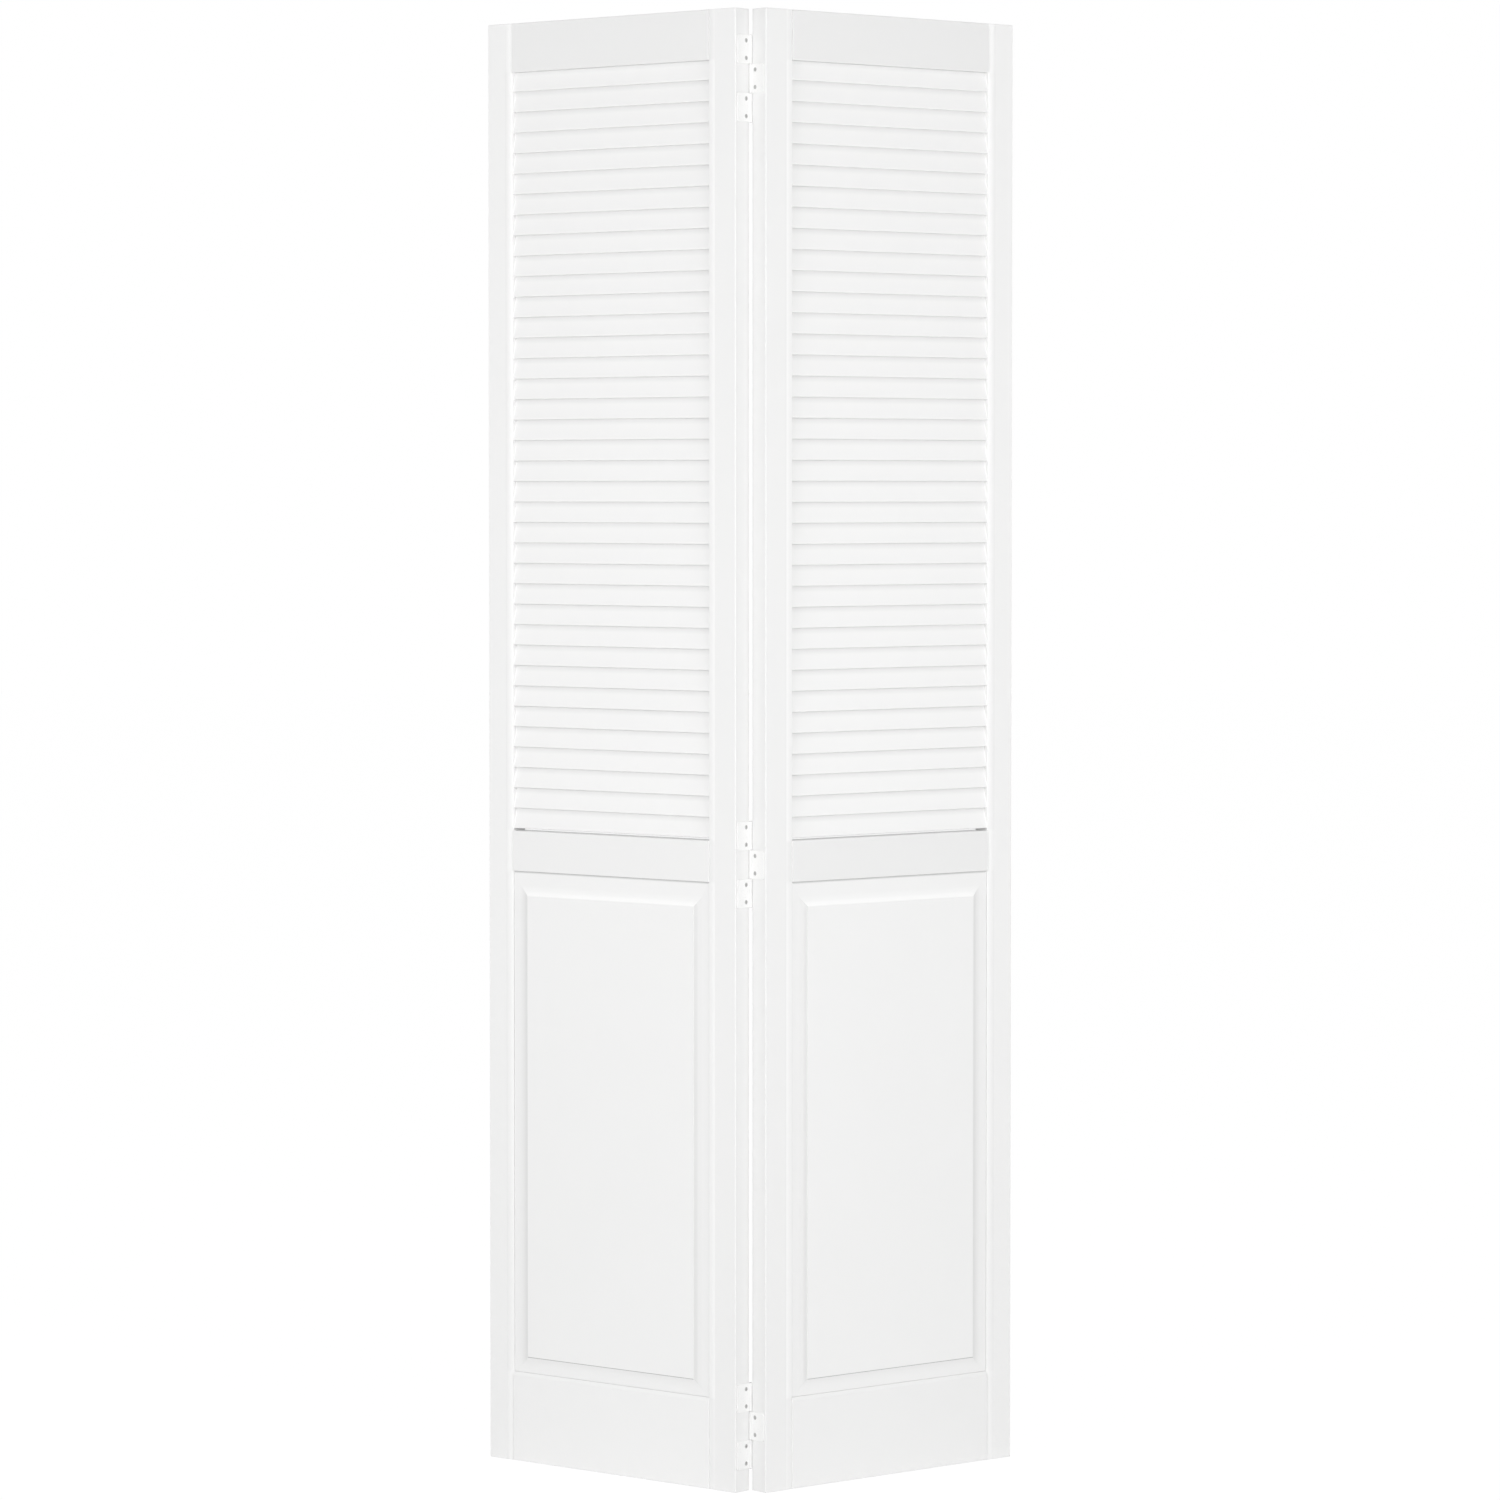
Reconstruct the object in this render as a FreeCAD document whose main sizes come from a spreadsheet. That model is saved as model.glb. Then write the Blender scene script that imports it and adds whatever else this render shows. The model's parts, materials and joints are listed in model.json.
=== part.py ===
import FreeCAD, Part
import math
import os
import re

import Sketcher

# A bifold closet door: two equal wooden leaves, louvred above and panelled below, joined at
# their meeting edges by three hinges. The door stands folded in a V.
#
# Frame: +X to the right, -Y toward the room, +Z up. The origin lies under the middle of the
# door's box, on the plane that it stands on.
#
# Every piece is drawn in the frame of its own leaf, as if the door were laid out flat: x runs
# along the leaf and is negative on the left leaf, y is 0 at the hinge pins and negative toward
# the room, and z is 0 at the foot. set_in_leaf then turns the leaf about the pins.

# The driving sizes, in millimetres and degrees.
DRIVING = (
    ("door_height", "2006.6"),
    ("leaf_width", "450.85"),
    ("fold_angle", "40"),             # how far each leaf is turned out of the closed plane
    ("leaf_gap", "1.9"),              # between the meeting edges when the door is closed flat
    # stiles
    ("outer_stile_width", "44"),
    ("hinge_stile_width", "48.5"),
    ("stile_thickness", "28.6"),
    ("edge_ease", "1"),               # radius on the long outer corners
    ("stick_width", "12.7"),          # the moulded inner edge: how far it reaches over the face
    ("stick_depth", "2.5"),           # and how far it falls below the face
    # rails
    ("rail_setback", "0.8"),          # rail faces lie this far below the stile faces
    ("rail_ease", "1"),
    ("top_rail_height", "67.8"),
    ("middle_rail_height", "56.5"),
    ("bottom_rail_height", "125"),
    # louvre slats
    ("slat_count", "37"),
    ("slat_pitch", "28.47"),
    ("slat_width", "33"),
    ("slat_thickness", "4"),
    ("slat_tilt", "78"),              # from level, with the room-side edge low
    ("slat_setback", "2.6"),          # the low edges lie this far below the stiles' room-side faces
    ("slat_round", "1.2"),
    ("slat_tenon", "6"),              # how far a slat's end reaches into the stile
    ("slat_clearance", "0.1"),
    ("slat_head_gap", "0.4"),         # round the top slat, in the top rail's rabbet
    ("slat_foot_gap", "1.7"),         # between the lowest slat and the middle rail
    # raised panel
    ("tongue_thickness", "9.5"),
    ("groove_depth", "11"),
    ("tongue_clearance", "0.15"),     # on each face of the tongue
    ("panel_play", "1.5"),            # room for the panel to swell, at its sides and head
    ("panel_edge_gap", "0.2"),
    ("margin_setback", "3.2"),        # the flat margin, below the stile faces
    ("field_setback", "0.4"),         # the raised field, below the stile faces
    ("margin_side", "12.5"),
    ("margin_head", "19.6"),
    ("margin_foot", "8"),
    ("cove_width", "14"),             # the hollow slope between the margin and the field
    ("quirk_height", "0.6"),          # the small square step round the field
    # dowels
    ("dowel_diameter", "9.5"),
    ("dowel_in_stile", "10"),
    ("dowel_in_rail", "35"),
    ("dowel_clearance", "0.05"),
    ("dowel_end_play", "1"),
    ("dowel_chamfer", "1"),
    ("dowel_margin", "17"),           # from a rail's long edge to the nearest dowel's centre
    # bores for the pivots and the guide
    ("pivot_bore_diameter", "9.5"),
    ("pivot_bore_depth", "38"),       # of the round wall, with the drill point's cone beyond it
    ("drill_point_angle", "118"),
    # hinges
    ("pin_setback", "2.1"),           # pin centre behind the back faces
    ("pin_diameter", "2"),
    ("pin_clearance", "0.05"),
    ("pin_head_diameter", "3.6"),
    ("pin_head_height", "0.9"),
    ("pin_head_chamfer", "0.3"),
    ("knuckle_diameter", "4.8"),
    ("knuckle_gap", "0.5"),
    ("tab_thickness", "1.4"),
    ("tab_reach", "25.4"),            # over the leaf's edge, from its back corner
    ("tab_height", "38.5"),
    ("tab_corner", "2.5"),
    ("top_hinge_drop", "93.6"),       # hinge centre below the door's head
    ("middle_hinge_drop", "31.6"),    # hinge centre below the middle rail's head
    ("bottom_hinge_rise", "88.5"),    # hinge centre above the door's foot
    # hinge screws
    ("screw_pitch", "23.6"),
    ("screw_setback", "7.5"),         # screw line from the leaf's back face
    ("screw_diameter", "3.5"),
    ("screw_head_diameter", "5.9"),
    ("screw_length", "19"),
    ("screw_point", "4"),
    ("screw_clearance", "0.05"),
    ("countersink_angle", "82"),
    ("recess_span", "3.4"),
    ("recess_slot", "0.9"),
    ("recess_depth", "1.3"),
)

# Sizes worked out from the driving ones.
WORKED = (
    ("opening_width", "leaf_width - outer_stile_width - hinge_stile_width"),
    ("opening_middle", "leaf_gap/2 + hinge_stile_width + opening_width/2"),
    ("stick_radius", "(stick_width^2 + stick_depth^2)/(2*stick_depth)"),
    ("rail_stick_width", "stick_width - sqrt(2*stick_radius*rail_setback - rail_setback^2)"),
    ("louvre_height", "slat_count*slat_pitch + slat_foot_gap - slat_head_gap"),
    ("louvre_head", "door_height - top_rail_height"),
    ("middle_rail_head", "louvre_head - louvre_height"),
    ("middle_rail_foot", "middle_rail_head - middle_rail_height"),
    ("slat_depth", "slat_width*cos(slat_tilt) + slat_thickness*sin(slat_tilt)"),
    ("slat_rise", "slat_width*sin(slat_tilt) + slat_thickness*cos(slat_tilt)"),
    ("first_slat", "middle_rail_head + slat_foot_gap + slat_rise/2"),
    ("rabbet_height", "max(slat_rise - slat_pitch + 2*slat_head_gap; slat_head_gap)"),
    ("slat_middle", "slat_setback + slat_depth/2"),
    ("slat_back", "slat_setback + slat_depth"),
    ("rabbet_width", "slat_thickness*sin(slat_tilt) + rabbet_height/tan(slat_tilt) + slat_head_gap"),
    ("groove_half", "tongue_thickness/2 + tongue_clearance"),
    ("cove_rise", "margin_setback - field_setback - quirk_height"),
    ("cove_radius", "(cove_width^2 + cove_rise^2)/(2*cove_rise)"),
    ("tab_centre", "tab_height + knuckle_gap"),
    ("hinge_height", "3*tab_height + 2*knuckle_gap"),
    ("screw_head_height", "(screw_head_diameter - screw_diameter)/2/tan(countersink_angle/2)"),
    ("top_hinge", "door_height - top_hinge_drop"),
    ("middle_hinge", "middle_rail_head - middle_hinge_drop"),
    ("nearest_corner", "(leaf_gap/2 + edge_ease)*sin(fold_angle)"
                       " - (pin_setback + stile_thickness - edge_ease)*cos(fold_angle) - edge_ease"),
    ("farthest_corner", "(leaf_gap/2 + leaf_width - edge_ease)*sin(fold_angle)"
                        " - (pin_setback + edge_ease)*cos(fold_angle) + edge_ease"),
    ("pins_back", "-(nearest_corner + farthest_corner)/2"),
)

# Each leaf's name and the side of the pins that it lies on.
LEAVES = (("left", -1), ("right", 1))

# Each hinge's name and the size that gives the height of its centre.
HINGES = (("top", "top_hinge"), ("middle", "middle_hinge"), ("bottom", "bottom_hinge_rise"))

# A cut that takes away less than this many cubic millimetres has missed its piece.
LEAST_CUT = 0.001

# Settings of the two kinds of drilled hole.
BLIND = {"DepthType": "Dimension", "DrillPoint": "Angled", "DrillForDepth": False}
COUNTERSUNK = {"DepthType": "ThroughAll", "HoleCutType": "Countersink", "HoleCutCustomValues": True}

Vector = FreeCAD.Vector
doc = FreeCAD.newDocument("BifoldDoor")


# ---------------------------------------------------------------- sheets and formulas

def qualified(formula):
    """The formula with each size's name led by the name of the sheet that holds it."""
    driving = {alias for alias, _ in DRIVING}
    worked = {alias for alias, _ in WORKED}

    def lead(match):
        word = match.group(0)
        if word in driving:
            return "Sizes." + word
        if word in worked:
            return "Worked." + word
        return word

    return re.sub(r"[a-z][a-z_]*", lead, formula)


def add_sheet(name, rows):
    """A sheet with a size in each row: its name in column A, its value in column B."""
    page = doc.addObject("Spreadsheet::Sheet", name)
    for row, (alias, content) in enumerate(rows, start=1):
        page.set("A%d" % row, alias)
        page.set("B%d" % row, content)
        page.setAlias("B%d" % row, alias)
    doc.recompute()
    return page


sizes = add_sheet("Sizes", DRIVING)
add_sheet("Worked", [(alias, "=" + qualified(formula)) for alias, formula in WORKED])


def value(formula):
    """The number that a formula gives."""
    return float(sizes.evalExpression(qualified(formula)))


def bind(thing, prop, formula):
    """Tie a property to a formula of sizes."""
    thing.setExpression(prop, qualified(formula))


# ---------------------------------------------------------------- drawing

def new_body(label):
    body = doc.addObject("PartDesign::Body", label)
    body.Label = label
    return body


def origin_part(body, role):
    """One of the body's own origin planes or axes, by its role."""
    return next(part for part in body.Origin.OriginFeatures if part.Role == role)


def new_sketch(body, name, plane, lift="0"):
    """An empty sketch on an origin plane of the body, lifted along the plane's normal."""
    sketch = body.newObject("Sketcher::SketchObject", name)
    sketch.AttachmentSupport = [(origin_part(body, plane), "")]
    sketch.MapMode = "FlatFace"
    bind(sketch, "AttachmentOffset.Base.z", lift)
    return sketch


def line_to(x, y):
    return {"x": x, "y": y}


def arc_to(x, y, radius, turn):
    """A round stretch to the point; turn is 1 where it bends to the left and -1 to the right."""
    return {"x": x, "y": y, "radius": radius, "turn": turn}


def arc_middle(start, end, radius, turn):
    """The point half-way along an arc of less than half a circle."""
    chord = end - start
    half = chord.Length / 2
    sagitta = radius - math.sqrt(max(radius**2 - half**2, 0.0))
    outward = Vector(chord.y, -chord.x, 0).normalize() * turn
    return (start + end) / 2 + outward * sagitta


def draw_outline(sketch, stretches):
    """Draw a closed outline. Each stretch ends at a point whose place is tied to two formulas."""
    ends = [Vector(value(item["x"]), value(item["y"]), 0) for item in stretches]
    first = sketch.GeometryCount
    handles = []
    for index, item in enumerate(stretches):
        start = ends[index - 1]
        end = ends[index]
        if "radius" in item:
            middle = arc_middle(start, end, value(item["radius"]), item["turn"])
            number = sketch.addGeometry(Part.Arc(start, middle, end))
            # A sketch counts an arc's ends anticlockwise, so one that bends right ends at its first.
            handles.append((1, 2) if item["turn"] > 0 else (2, 1))
            radius = sketch.addConstraint(Sketcher.Constraint("Radius", number, value(item["radius"])))
            bind(sketch, "Constraints[%d]" % radius, item["radius"])
        else:
            sketch.addGeometry(Part.LineSegment(start, end))
            handles.append((1, 2))
    for index, item in enumerate(stretches):
        after = (index + 1) % len(stretches)
        sketch.addConstraint(Sketcher.Constraint(
            "Coincident", first + index, handles[index][1], first + after, handles[after][0]))
        tie_point(sketch, first + index, handles[index][1], item["x"], item["y"])


def tie_point(sketch, number, handle, x, y):
    """Tie a point of the sketch's geometry to two formulas, measured from the sketch's origin."""
    for kind, formula in (("DistanceX", x), ("DistanceY", y)):
        tie = sketch.addConstraint(Sketcher.Constraint(kind, -1, 1, number, handle, value(formula)))
        bind(sketch, "Constraints[%d]" % tie, formula)


def draw_circles(sketch, centres, diameter):
    for x, y in centres:
        centre = Vector(value(x), value(y), 0)
        number = sketch.addGeometry(Part.Circle(centre, Vector(0, 0, 1), value(diameter) / 2))
        size = sketch.addConstraint(Sketcher.Constraint("Diameter", number, value(diameter)))
        bind(sketch, "Constraints[%d]" % size, diameter)
        tie_point(sketch, number, 3, x, y)


def rectangle(x_low, x_high, y_low, y_high):
    return [line_to(x_low, y_low), line_to(x_high, y_low), line_to(x_high, y_high), line_to(x_low, y_high)]


# ---------------------------------------------------------------- solid features

def solid_volume(body):
    doc.recompute()
    return body.Shape.Volume


def pad(body, name, sketch, length, symmetric=False, flip=False):
    feature = body.newObject("PartDesign::Pad", name)
    feature.Profile = sketch
    feature.Midplane = symmetric
    feature.Reversed = flip
    bind(feature, "Length", length)
    return feature


def check_cut(body, name, before):
    """Stop where a cut has left the solid's volume as it was."""
    if solid_volume(body) > before - LEAST_CUT:
        raise RuntimeError("%s cuts nothing out of %s" % (name, body.Label))


def pocket(body, name, sketch, depth, flip=False):
    """Cut into the solid, against the sketch's normal, or along it where flip is set."""
    before = solid_volume(body)
    feature = body.newObject("PartDesign::Pocket", name)
    feature.Profile = sketch
    feature.Reversed = flip
    bind(feature, "Length", depth)
    check_cut(body, name, before)
    return feature


def drill(body, name, circles, diameter, kind, sizes_of_kind, flip=False):
    """Drill at a sketch's circles. kind holds the hole's settings, sizes_of_kind its formulas."""
    before = solid_volume(body)
    feature = body.newObject("PartDesign::Hole", name)
    feature.Profile = circles
    doc.recompute()
    feature.Reversed = flip
    for prop, setting in kind.items():
        setattr(feature, prop, setting)
    bind(feature, "Diameter", diameter)
    for prop, formula in sizes_of_kind.items():
        bind(feature, prop, formula)
    check_cut(body, name, before)


def repeat_up(body, name, originals, count, pitch):
    """Repeat features, or the whole body where originals is empty, upward at a pitch."""
    feature = body.newObject("PartDesign::LinearPattern", name)
    if originals:
        feature.Originals = originals
    else:
        feature.TransformMode = "Whole shape"
    feature.Direction = (origin_part(body, "Z_Axis"), [""])
    bind(feature, "Occurrences", count)
    bind(feature, "Length", "(%s - 1)*(%s)" % (count, pitch))
    body.Tip = feature


def mirror(body, name, originals, plane):
    """Mirror features, or the whole body where originals is empty, in an origin plane."""
    feature = body.newObject("PartDesign::Mirrored", name)
    if originals:
        feature.Originals = originals
    else:
        feature.TransformMode = "Whole shape"
    feature.MirrorPlane = (origin_part(body, plane), [""])
    body.Tip = feature


def set_in_leaf(body, side, along, across, up):
    """Put a body into its leaf at x = side*along, y = across, and turn it with the leaf."""
    turn = "(%d)*fold_angle" % side
    x = "(%d)*(%s)" % (side, along)
    body.Placement = FreeCAD.Placement(Vector(), FreeCAD.Rotation(Vector(0, 0, 1), 1))
    bind(body, "Placement.Base.x", "(%s)*cos(%s) - (%s)*sin(%s)" % (x, turn, across, turn))
    bind(body, "Placement.Base.y", "(%s)*sin(%s) + (%s)*cos(%s) + pins_back" % (x, turn, across, turn))
    bind(body, "Placement.Base.z", up)
    bind(body, "Placement.Rotation.Angle", turn)


# ---------------------------------------------------------------- wooden pieces

FRONT = "-(pin_setback + stile_thickness)"      # y of the leaf's room-side face
MIDDLE = "-(pin_setback + stile_thickness/2)"   # y of the leaf's middle

# Heights of the dowels' centres in each rail, from the foot of the door.
DOWEL_HEIGHTS = {
    "top_rail": ("louvre_head + dowel_margin", "door_height - dowel_margin"),
    "middle_rail": ("middle_rail_foot + dowel_margin", "middle_rail_head - dowel_margin"),
    "bottom_rail": ("dowel_margin", "bottom_rail_height/2",
                    "bottom_rail_height - groove_depth - dowel_margin"),
}


def hinge_screw_heights(side):
    """Screw heights from a hinge's centre: four on the left leaf's two tabs, two on the right's."""
    if side > 0:
        return ("-screw_pitch/2", "screw_pitch/2")
    return ("-tab_centre - screw_pitch/2", "-tab_centre + screw_pitch/2",
            "tab_centre - screw_pitch/2", "tab_centre + screw_pitch/2")


def slat_outline(grow):
    """A slat's rounded section in the y-z plane, at the lowest slat's place, grown all round."""
    half_wide = "(slat_width/2 + %s)" % grow
    half_thick = "(slat_thickness/2 + %s)" % grow
    corner = "(slat_round + %s)" % grow
    flat_wide = "(%s - %s)" % (half_wide, corner)
    flat_thick = "(%s - %s)" % (half_thick, corner)

    def turned(wide, thick):
        y = "slat_middle + (%s)*cos(slat_tilt) - (%s)*sin(slat_tilt)" % (wide, thick)
        z = "first_slat + (%s)*sin(slat_tilt) + (%s)*cos(slat_tilt)" % (wide, thick)
        return y, z

    stretches = []
    for wide_sign, thick_sign in ((1, -1), (1, 1), (-1, 1), (-1, -1)):
        # The corner is entered from the side before it and left on the side after it.
        on_long = ("%d*%s" % (wide_sign, flat_wide), "%d*%s" % (thick_sign, half_thick))
        on_short = ("%d*%s" % (wide_sign, half_wide), "%d*%s" % (thick_sign, flat_thick))
        entry, leave = (on_long, on_short) if wide_sign == -thick_sign else (on_short, on_long)
        stretches.append(line_to(*turned(*entry)))
        stretches.append(arc_to(*turned(*leave), corner, 1))
    return stretches


def make_stile(label, side, inward, width, along, pivot_bores, hinge_screws):
    """A stile. Its plain edge is at x = 0 and its moulded inner edge lies toward inward."""
    body = new_body(label)
    inner = "%d*%s" % (inward, width)
    shoulder = "%d*(%s - stick_width)" % (inward, width)
    section = new_sketch(body, "Section", "XY_Plane")
    draw_outline(section, [
        line_to(shoulder, "0"),
        arc_to(inner, "stick_depth", "stick_radius", inward),
        line_to(inner, "stile_thickness - stick_depth"),
        arc_to(shoulder, "stile_thickness", "stick_radius", inward),
        line_to("%d*edge_ease" % inward, "stile_thickness"),
        arc_to("0", "stile_thickness - edge_ease", "edge_ease", inward),
        line_to("0", "edge_ease"),
        arc_to("%d*edge_ease" % inward, "0", "edge_ease", inward),
    ])
    pad(body, "Board", section, "door_height")

    groove = new_sketch(body, "GrooveOutline", "YZ_Plane", inner)
    draw_outline(groove, rectangle(
        "stile_thickness/2 - groove_half", "stile_thickness/2 + groove_half",
        "bottom_rail_height - groove_depth", "middle_rail_foot + groove_depth"))
    pocket(body, "PanelGroove", groove, "groove_depth", inward < 0)

    dowels = new_sketch(body, "DowelCircles", "YZ_Plane", inner)
    heights = [height for rail in DOWEL_HEIGHTS.values() for height in rail]
    draw_circles(dowels, [("stile_thickness/2", height) for height in heights],
                 "dowel_diameter + 2*dowel_clearance")
    pocket(body, "DowelHoles", dowels, "dowel_in_stile + dowel_end_play", inward < 0)

    if hinge_screws:
        screws = new_sketch(body, "ScrewCircles", "YZ_Plane")
        centres = [("stile_thickness - screw_setback", "%s + %s" % (hinge, height))
                   for _, hinge in HINGES for height in hinge_screw_heights(side)]
        draw_circles(screws, centres, "screw_diameter + 2*screw_clearance")
        pocket(body, "ScrewHoles", screws, "screw_length", inward > 0)

    for end, lift in pivot_bores:
        circle = new_sketch(body, "%sBoreCircle" % end, "XY_Plane", lift)
        draw_circles(circle, [("%d*%s/2" % (inward, width), "stile_thickness/2")], "pivot_bore_diameter")
        drill(body, "%sBore" % end, circle, "pivot_bore_diameter", BLIND,
              {"Depth": "pivot_bore_depth", "DrillPointAngle": "drill_point_angle"}, end == "Foot")

    mortise = new_sketch(body, "MortiseOutline", "YZ_Plane", inner)
    draw_outline(mortise, slat_outline("slat_clearance"))
    cut = pocket(body, "Mortise", mortise, "slat_tenon + slat_clearance", inward < 0)
    repeat_up(body, "Mortises", [cut], "slat_count", "slat_pitch")
    set_in_leaf(body, side, along, FRONT, "0")
    return body


# A rail's room-side and back faces, measured from the leaf's room-side face.
RAIL_FRONT = "rail_setback"
RAIL_BACK = "stile_thickness - rail_setback"
EASED_FRONT = RAIL_FRONT + " + rail_ease"
EASED_BACK = RAIL_BACK + " - rail_ease"


def top_rail_section():
    """Square to the louvres, with a rabbet at the back that clears the top slat's high edge."""
    rabbet = "slat_back - rabbet_width"
    return [
        line_to(rabbet, "louvre_head"),
        line_to(rabbet, "louvre_head + rabbet_height"),
        line_to(RAIL_BACK, "louvre_head + rabbet_height"),
        line_to(RAIL_BACK, "door_height - rail_ease"),
        arc_to(EASED_BACK, "door_height", "rail_ease", 1),
        line_to(EASED_FRONT, "door_height"),
        arc_to(RAIL_FRONT, "door_height - rail_ease", "rail_ease", 1),
        line_to(RAIL_FRONT, "louvre_head + rail_ease"),
        arc_to(EASED_FRONT, "louvre_head", "rail_ease", 1),
    ]


def middle_rail_section():
    """Square to the louvres and to the panel below, and grooved for the panel."""
    return [
        line_to("stile_thickness/2 - groove_half", "middle_rail_foot"),
        line_to("stile_thickness/2 - groove_half", "middle_rail_foot + groove_depth"),
        line_to("stile_thickness/2 + groove_half", "middle_rail_foot + groove_depth"),
        line_to("stile_thickness/2 + groove_half", "middle_rail_foot"),
        line_to(EASED_BACK, "middle_rail_foot"),
        arc_to(RAIL_BACK, "middle_rail_foot + rail_ease", "rail_ease", 1),
        line_to(RAIL_BACK, "middle_rail_head - rail_ease"),
        arc_to(EASED_BACK, "middle_rail_head", "rail_ease", 1),
        line_to(EASED_FRONT, "middle_rail_head"),
        arc_to(RAIL_FRONT, "middle_rail_head - rail_ease", "rail_ease", 1),
        line_to(RAIL_FRONT, "middle_rail_foot + rail_ease"),
        arc_to(EASED_FRONT, "middle_rail_foot", "rail_ease", 1),
    ]


def bottom_rail_section():
    """Moulded and grooved to the panel above, eased at the foot."""
    return [
        line_to(EASED_BACK, "0"),
        arc_to(RAIL_BACK, "rail_ease", "rail_ease", 1),
        line_to(RAIL_BACK, "bottom_rail_height - rail_stick_width"),
        arc_to("stile_thickness - stick_depth", "bottom_rail_height", "stick_radius", 1),
        line_to("stile_thickness/2 + groove_half", "bottom_rail_height"),
        line_to("stile_thickness/2 + groove_half", "bottom_rail_height - groove_depth"),
        line_to("stile_thickness/2 - groove_half", "bottom_rail_height - groove_depth"),
        line_to("stile_thickness/2 - groove_half", "bottom_rail_height"),
        line_to("stick_depth", "bottom_rail_height"),
        arc_to(RAIL_FRONT, "bottom_rail_height - rail_stick_width", "stick_radius", 1),
        line_to(RAIL_FRONT, "rail_ease"),
        arc_to(EASED_FRONT, "0", "rail_ease", 1),
    ]


RAIL_SECTIONS = {
    "top_rail": top_rail_section,
    "middle_rail": middle_rail_section,
    "bottom_rail": bottom_rail_section,
}


def make_rail(leaf, side, rail):
    """A rail between the stiles' inner edges, with dowel holes in both of its ends."""
    body = new_body("%s_%s" % (leaf, rail))
    section = new_sketch(body, "Section", "YZ_Plane")
    draw_outline(section, RAIL_SECTIONS[rail]())
    pad(body, "Board", section, "opening_width", symmetric=True)
    circles = new_sketch(body, "DowelCircles", "YZ_Plane", "-opening_width/2")
    draw_circles(circles, [("stile_thickness/2", height) for height in DOWEL_HEIGHTS[rail]],
                 "dowel_diameter + 2*dowel_clearance")
    holes = pocket(body, "DowelHoles", circles, "dowel_in_rail + dowel_end_play", flip=True)
    mirror(body, "OtherEnd", [holes], "YZ_Plane")
    set_in_leaf(body, side, "opening_middle", FRONT, "0")
    return body


def make_dowels(leaf, side, rail):
    """The dowels at both ends of a rail, each partly in the rail and partly in a stile."""
    body = new_body("%s_%s_dowels" % (leaf, rail))
    circles = new_sketch(body, "Circles", "YZ_Plane", "-opening_width/2 - dowel_in_stile")
    draw_circles(circles, [("stile_thickness/2", height) for height in DOWEL_HEIGHTS[rail]],
                 "dowel_diameter")
    rods = pad(body, "Rods", circles, "dowel_in_stile + dowel_in_rail")
    doc.recompute()
    rims = ["Edge%d" % number for number, edge in enumerate(rods.Shape.Edges, start=1)
            if isinstance(edge.Curve, Part.Circle)]
    ends = body.newObject("PartDesign::Chamfer", "Ends")
    ends.Base = (rods, rims)
    bind(ends, "Size", "dowel_chamfer")
    mirror(body, "OtherEnd", [], "YZ_Plane")
    set_in_leaf(body, side, "opening_middle", FRONT, "0")
    return body


def make_slats(leaf, side):
    """The fixed louvre slats, their ends housed in the stiles."""
    body = new_body("%s_louvre_slats" % leaf)
    section = new_sketch(body, "Section", "YZ_Plane")
    draw_outline(section, slat_outline("0"))
    pad(body, "Slat", section, "opening_width + 2*slat_tenon", symmetric=True)
    repeat_up(body, "Slats", [], "slat_count", "slat_pitch")
    set_in_leaf(body, side, "opening_middle", FRONT, "0")
    return body


# The panel's cove is drawn as this many flat strips.
COVE_STEPS = 4


def panel_rectangle(side_inset, head_inset, foot_inset):
    """A rectangle in the x-z plane, inset from the panel opening's sides, head and foot."""
    half = "(opening_width/2 - (%s))" % side_inset
    return rectangle("-" + half, half,
                     "bottom_rail_height + (%s)" % foot_inset, "middle_rail_foot - (%s)" % head_inset)


def make_panel(leaf, side):
    """The raised panel: a tongue all round, a flat margin, and a coved field raised on both faces."""
    body = new_body("%s_raised_panel" % leaf)
    tongue = new_sketch(body, "TongueOutline", "XZ_Plane")
    reach = "(opening_width/2 + groove_depth - panel_play)"
    draw_outline(tongue, rectangle("-" + reach, reach, "bottom_rail_height - groove_depth",
                                   "middle_rail_foot + groove_depth - panel_play"))
    pad(body, "Tongue", tongue, "tongue_thickness", symmetric=True)

    margin = new_sketch(body, "MarginOutline", "XZ_Plane")
    draw_outline(margin, panel_rectangle("panel_edge_gap", "panel_edge_gap", "panel_edge_gap"))
    pad(body, "Margin", margin, "stile_thickness - 2*margin_setback", symmetric=True)

    rings = []
    for step in range(COVE_STEPS + 1):
        share = "(%d/%d)" % (step, COVE_STEPS)
        lift = "cove_radius - sqrt(cove_radius^2 - (%s*cove_width)^2)" % share
        ring = new_sketch(body, "CoveRing%d" % step, "XZ_Plane", "stile_thickness/2 - margin_setback + " + lift)
        inset = " + %s*cove_width" % share
        draw_outline(ring, panel_rectangle("margin_side" + inset, "margin_head" + inset, "margin_foot" + inset))
        rings.append(ring)
    cove = body.newObject("PartDesign::AdditiveLoft", "Cove")
    cove.Profile = rings[0]
    cove.Sections = rings[1:]
    cove.Ruled = True

    field = new_sketch(body, "FieldOutline", "XZ_Plane", "stile_thickness/2 - field_setback - quirk_height")
    draw_outline(field, panel_rectangle("margin_side + cove_width", "margin_head + cove_width",
                                        "margin_foot + cove_width"))
    raised = pad(body, "Field", field, "quirk_height")
    mirror(body, "BackFace", [cove, raised], "XZ_Plane")
    set_in_leaf(body, side, "opening_middle", MIDDLE, "0")
    return body


# ---------------------------------------------------------------- hinges

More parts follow.
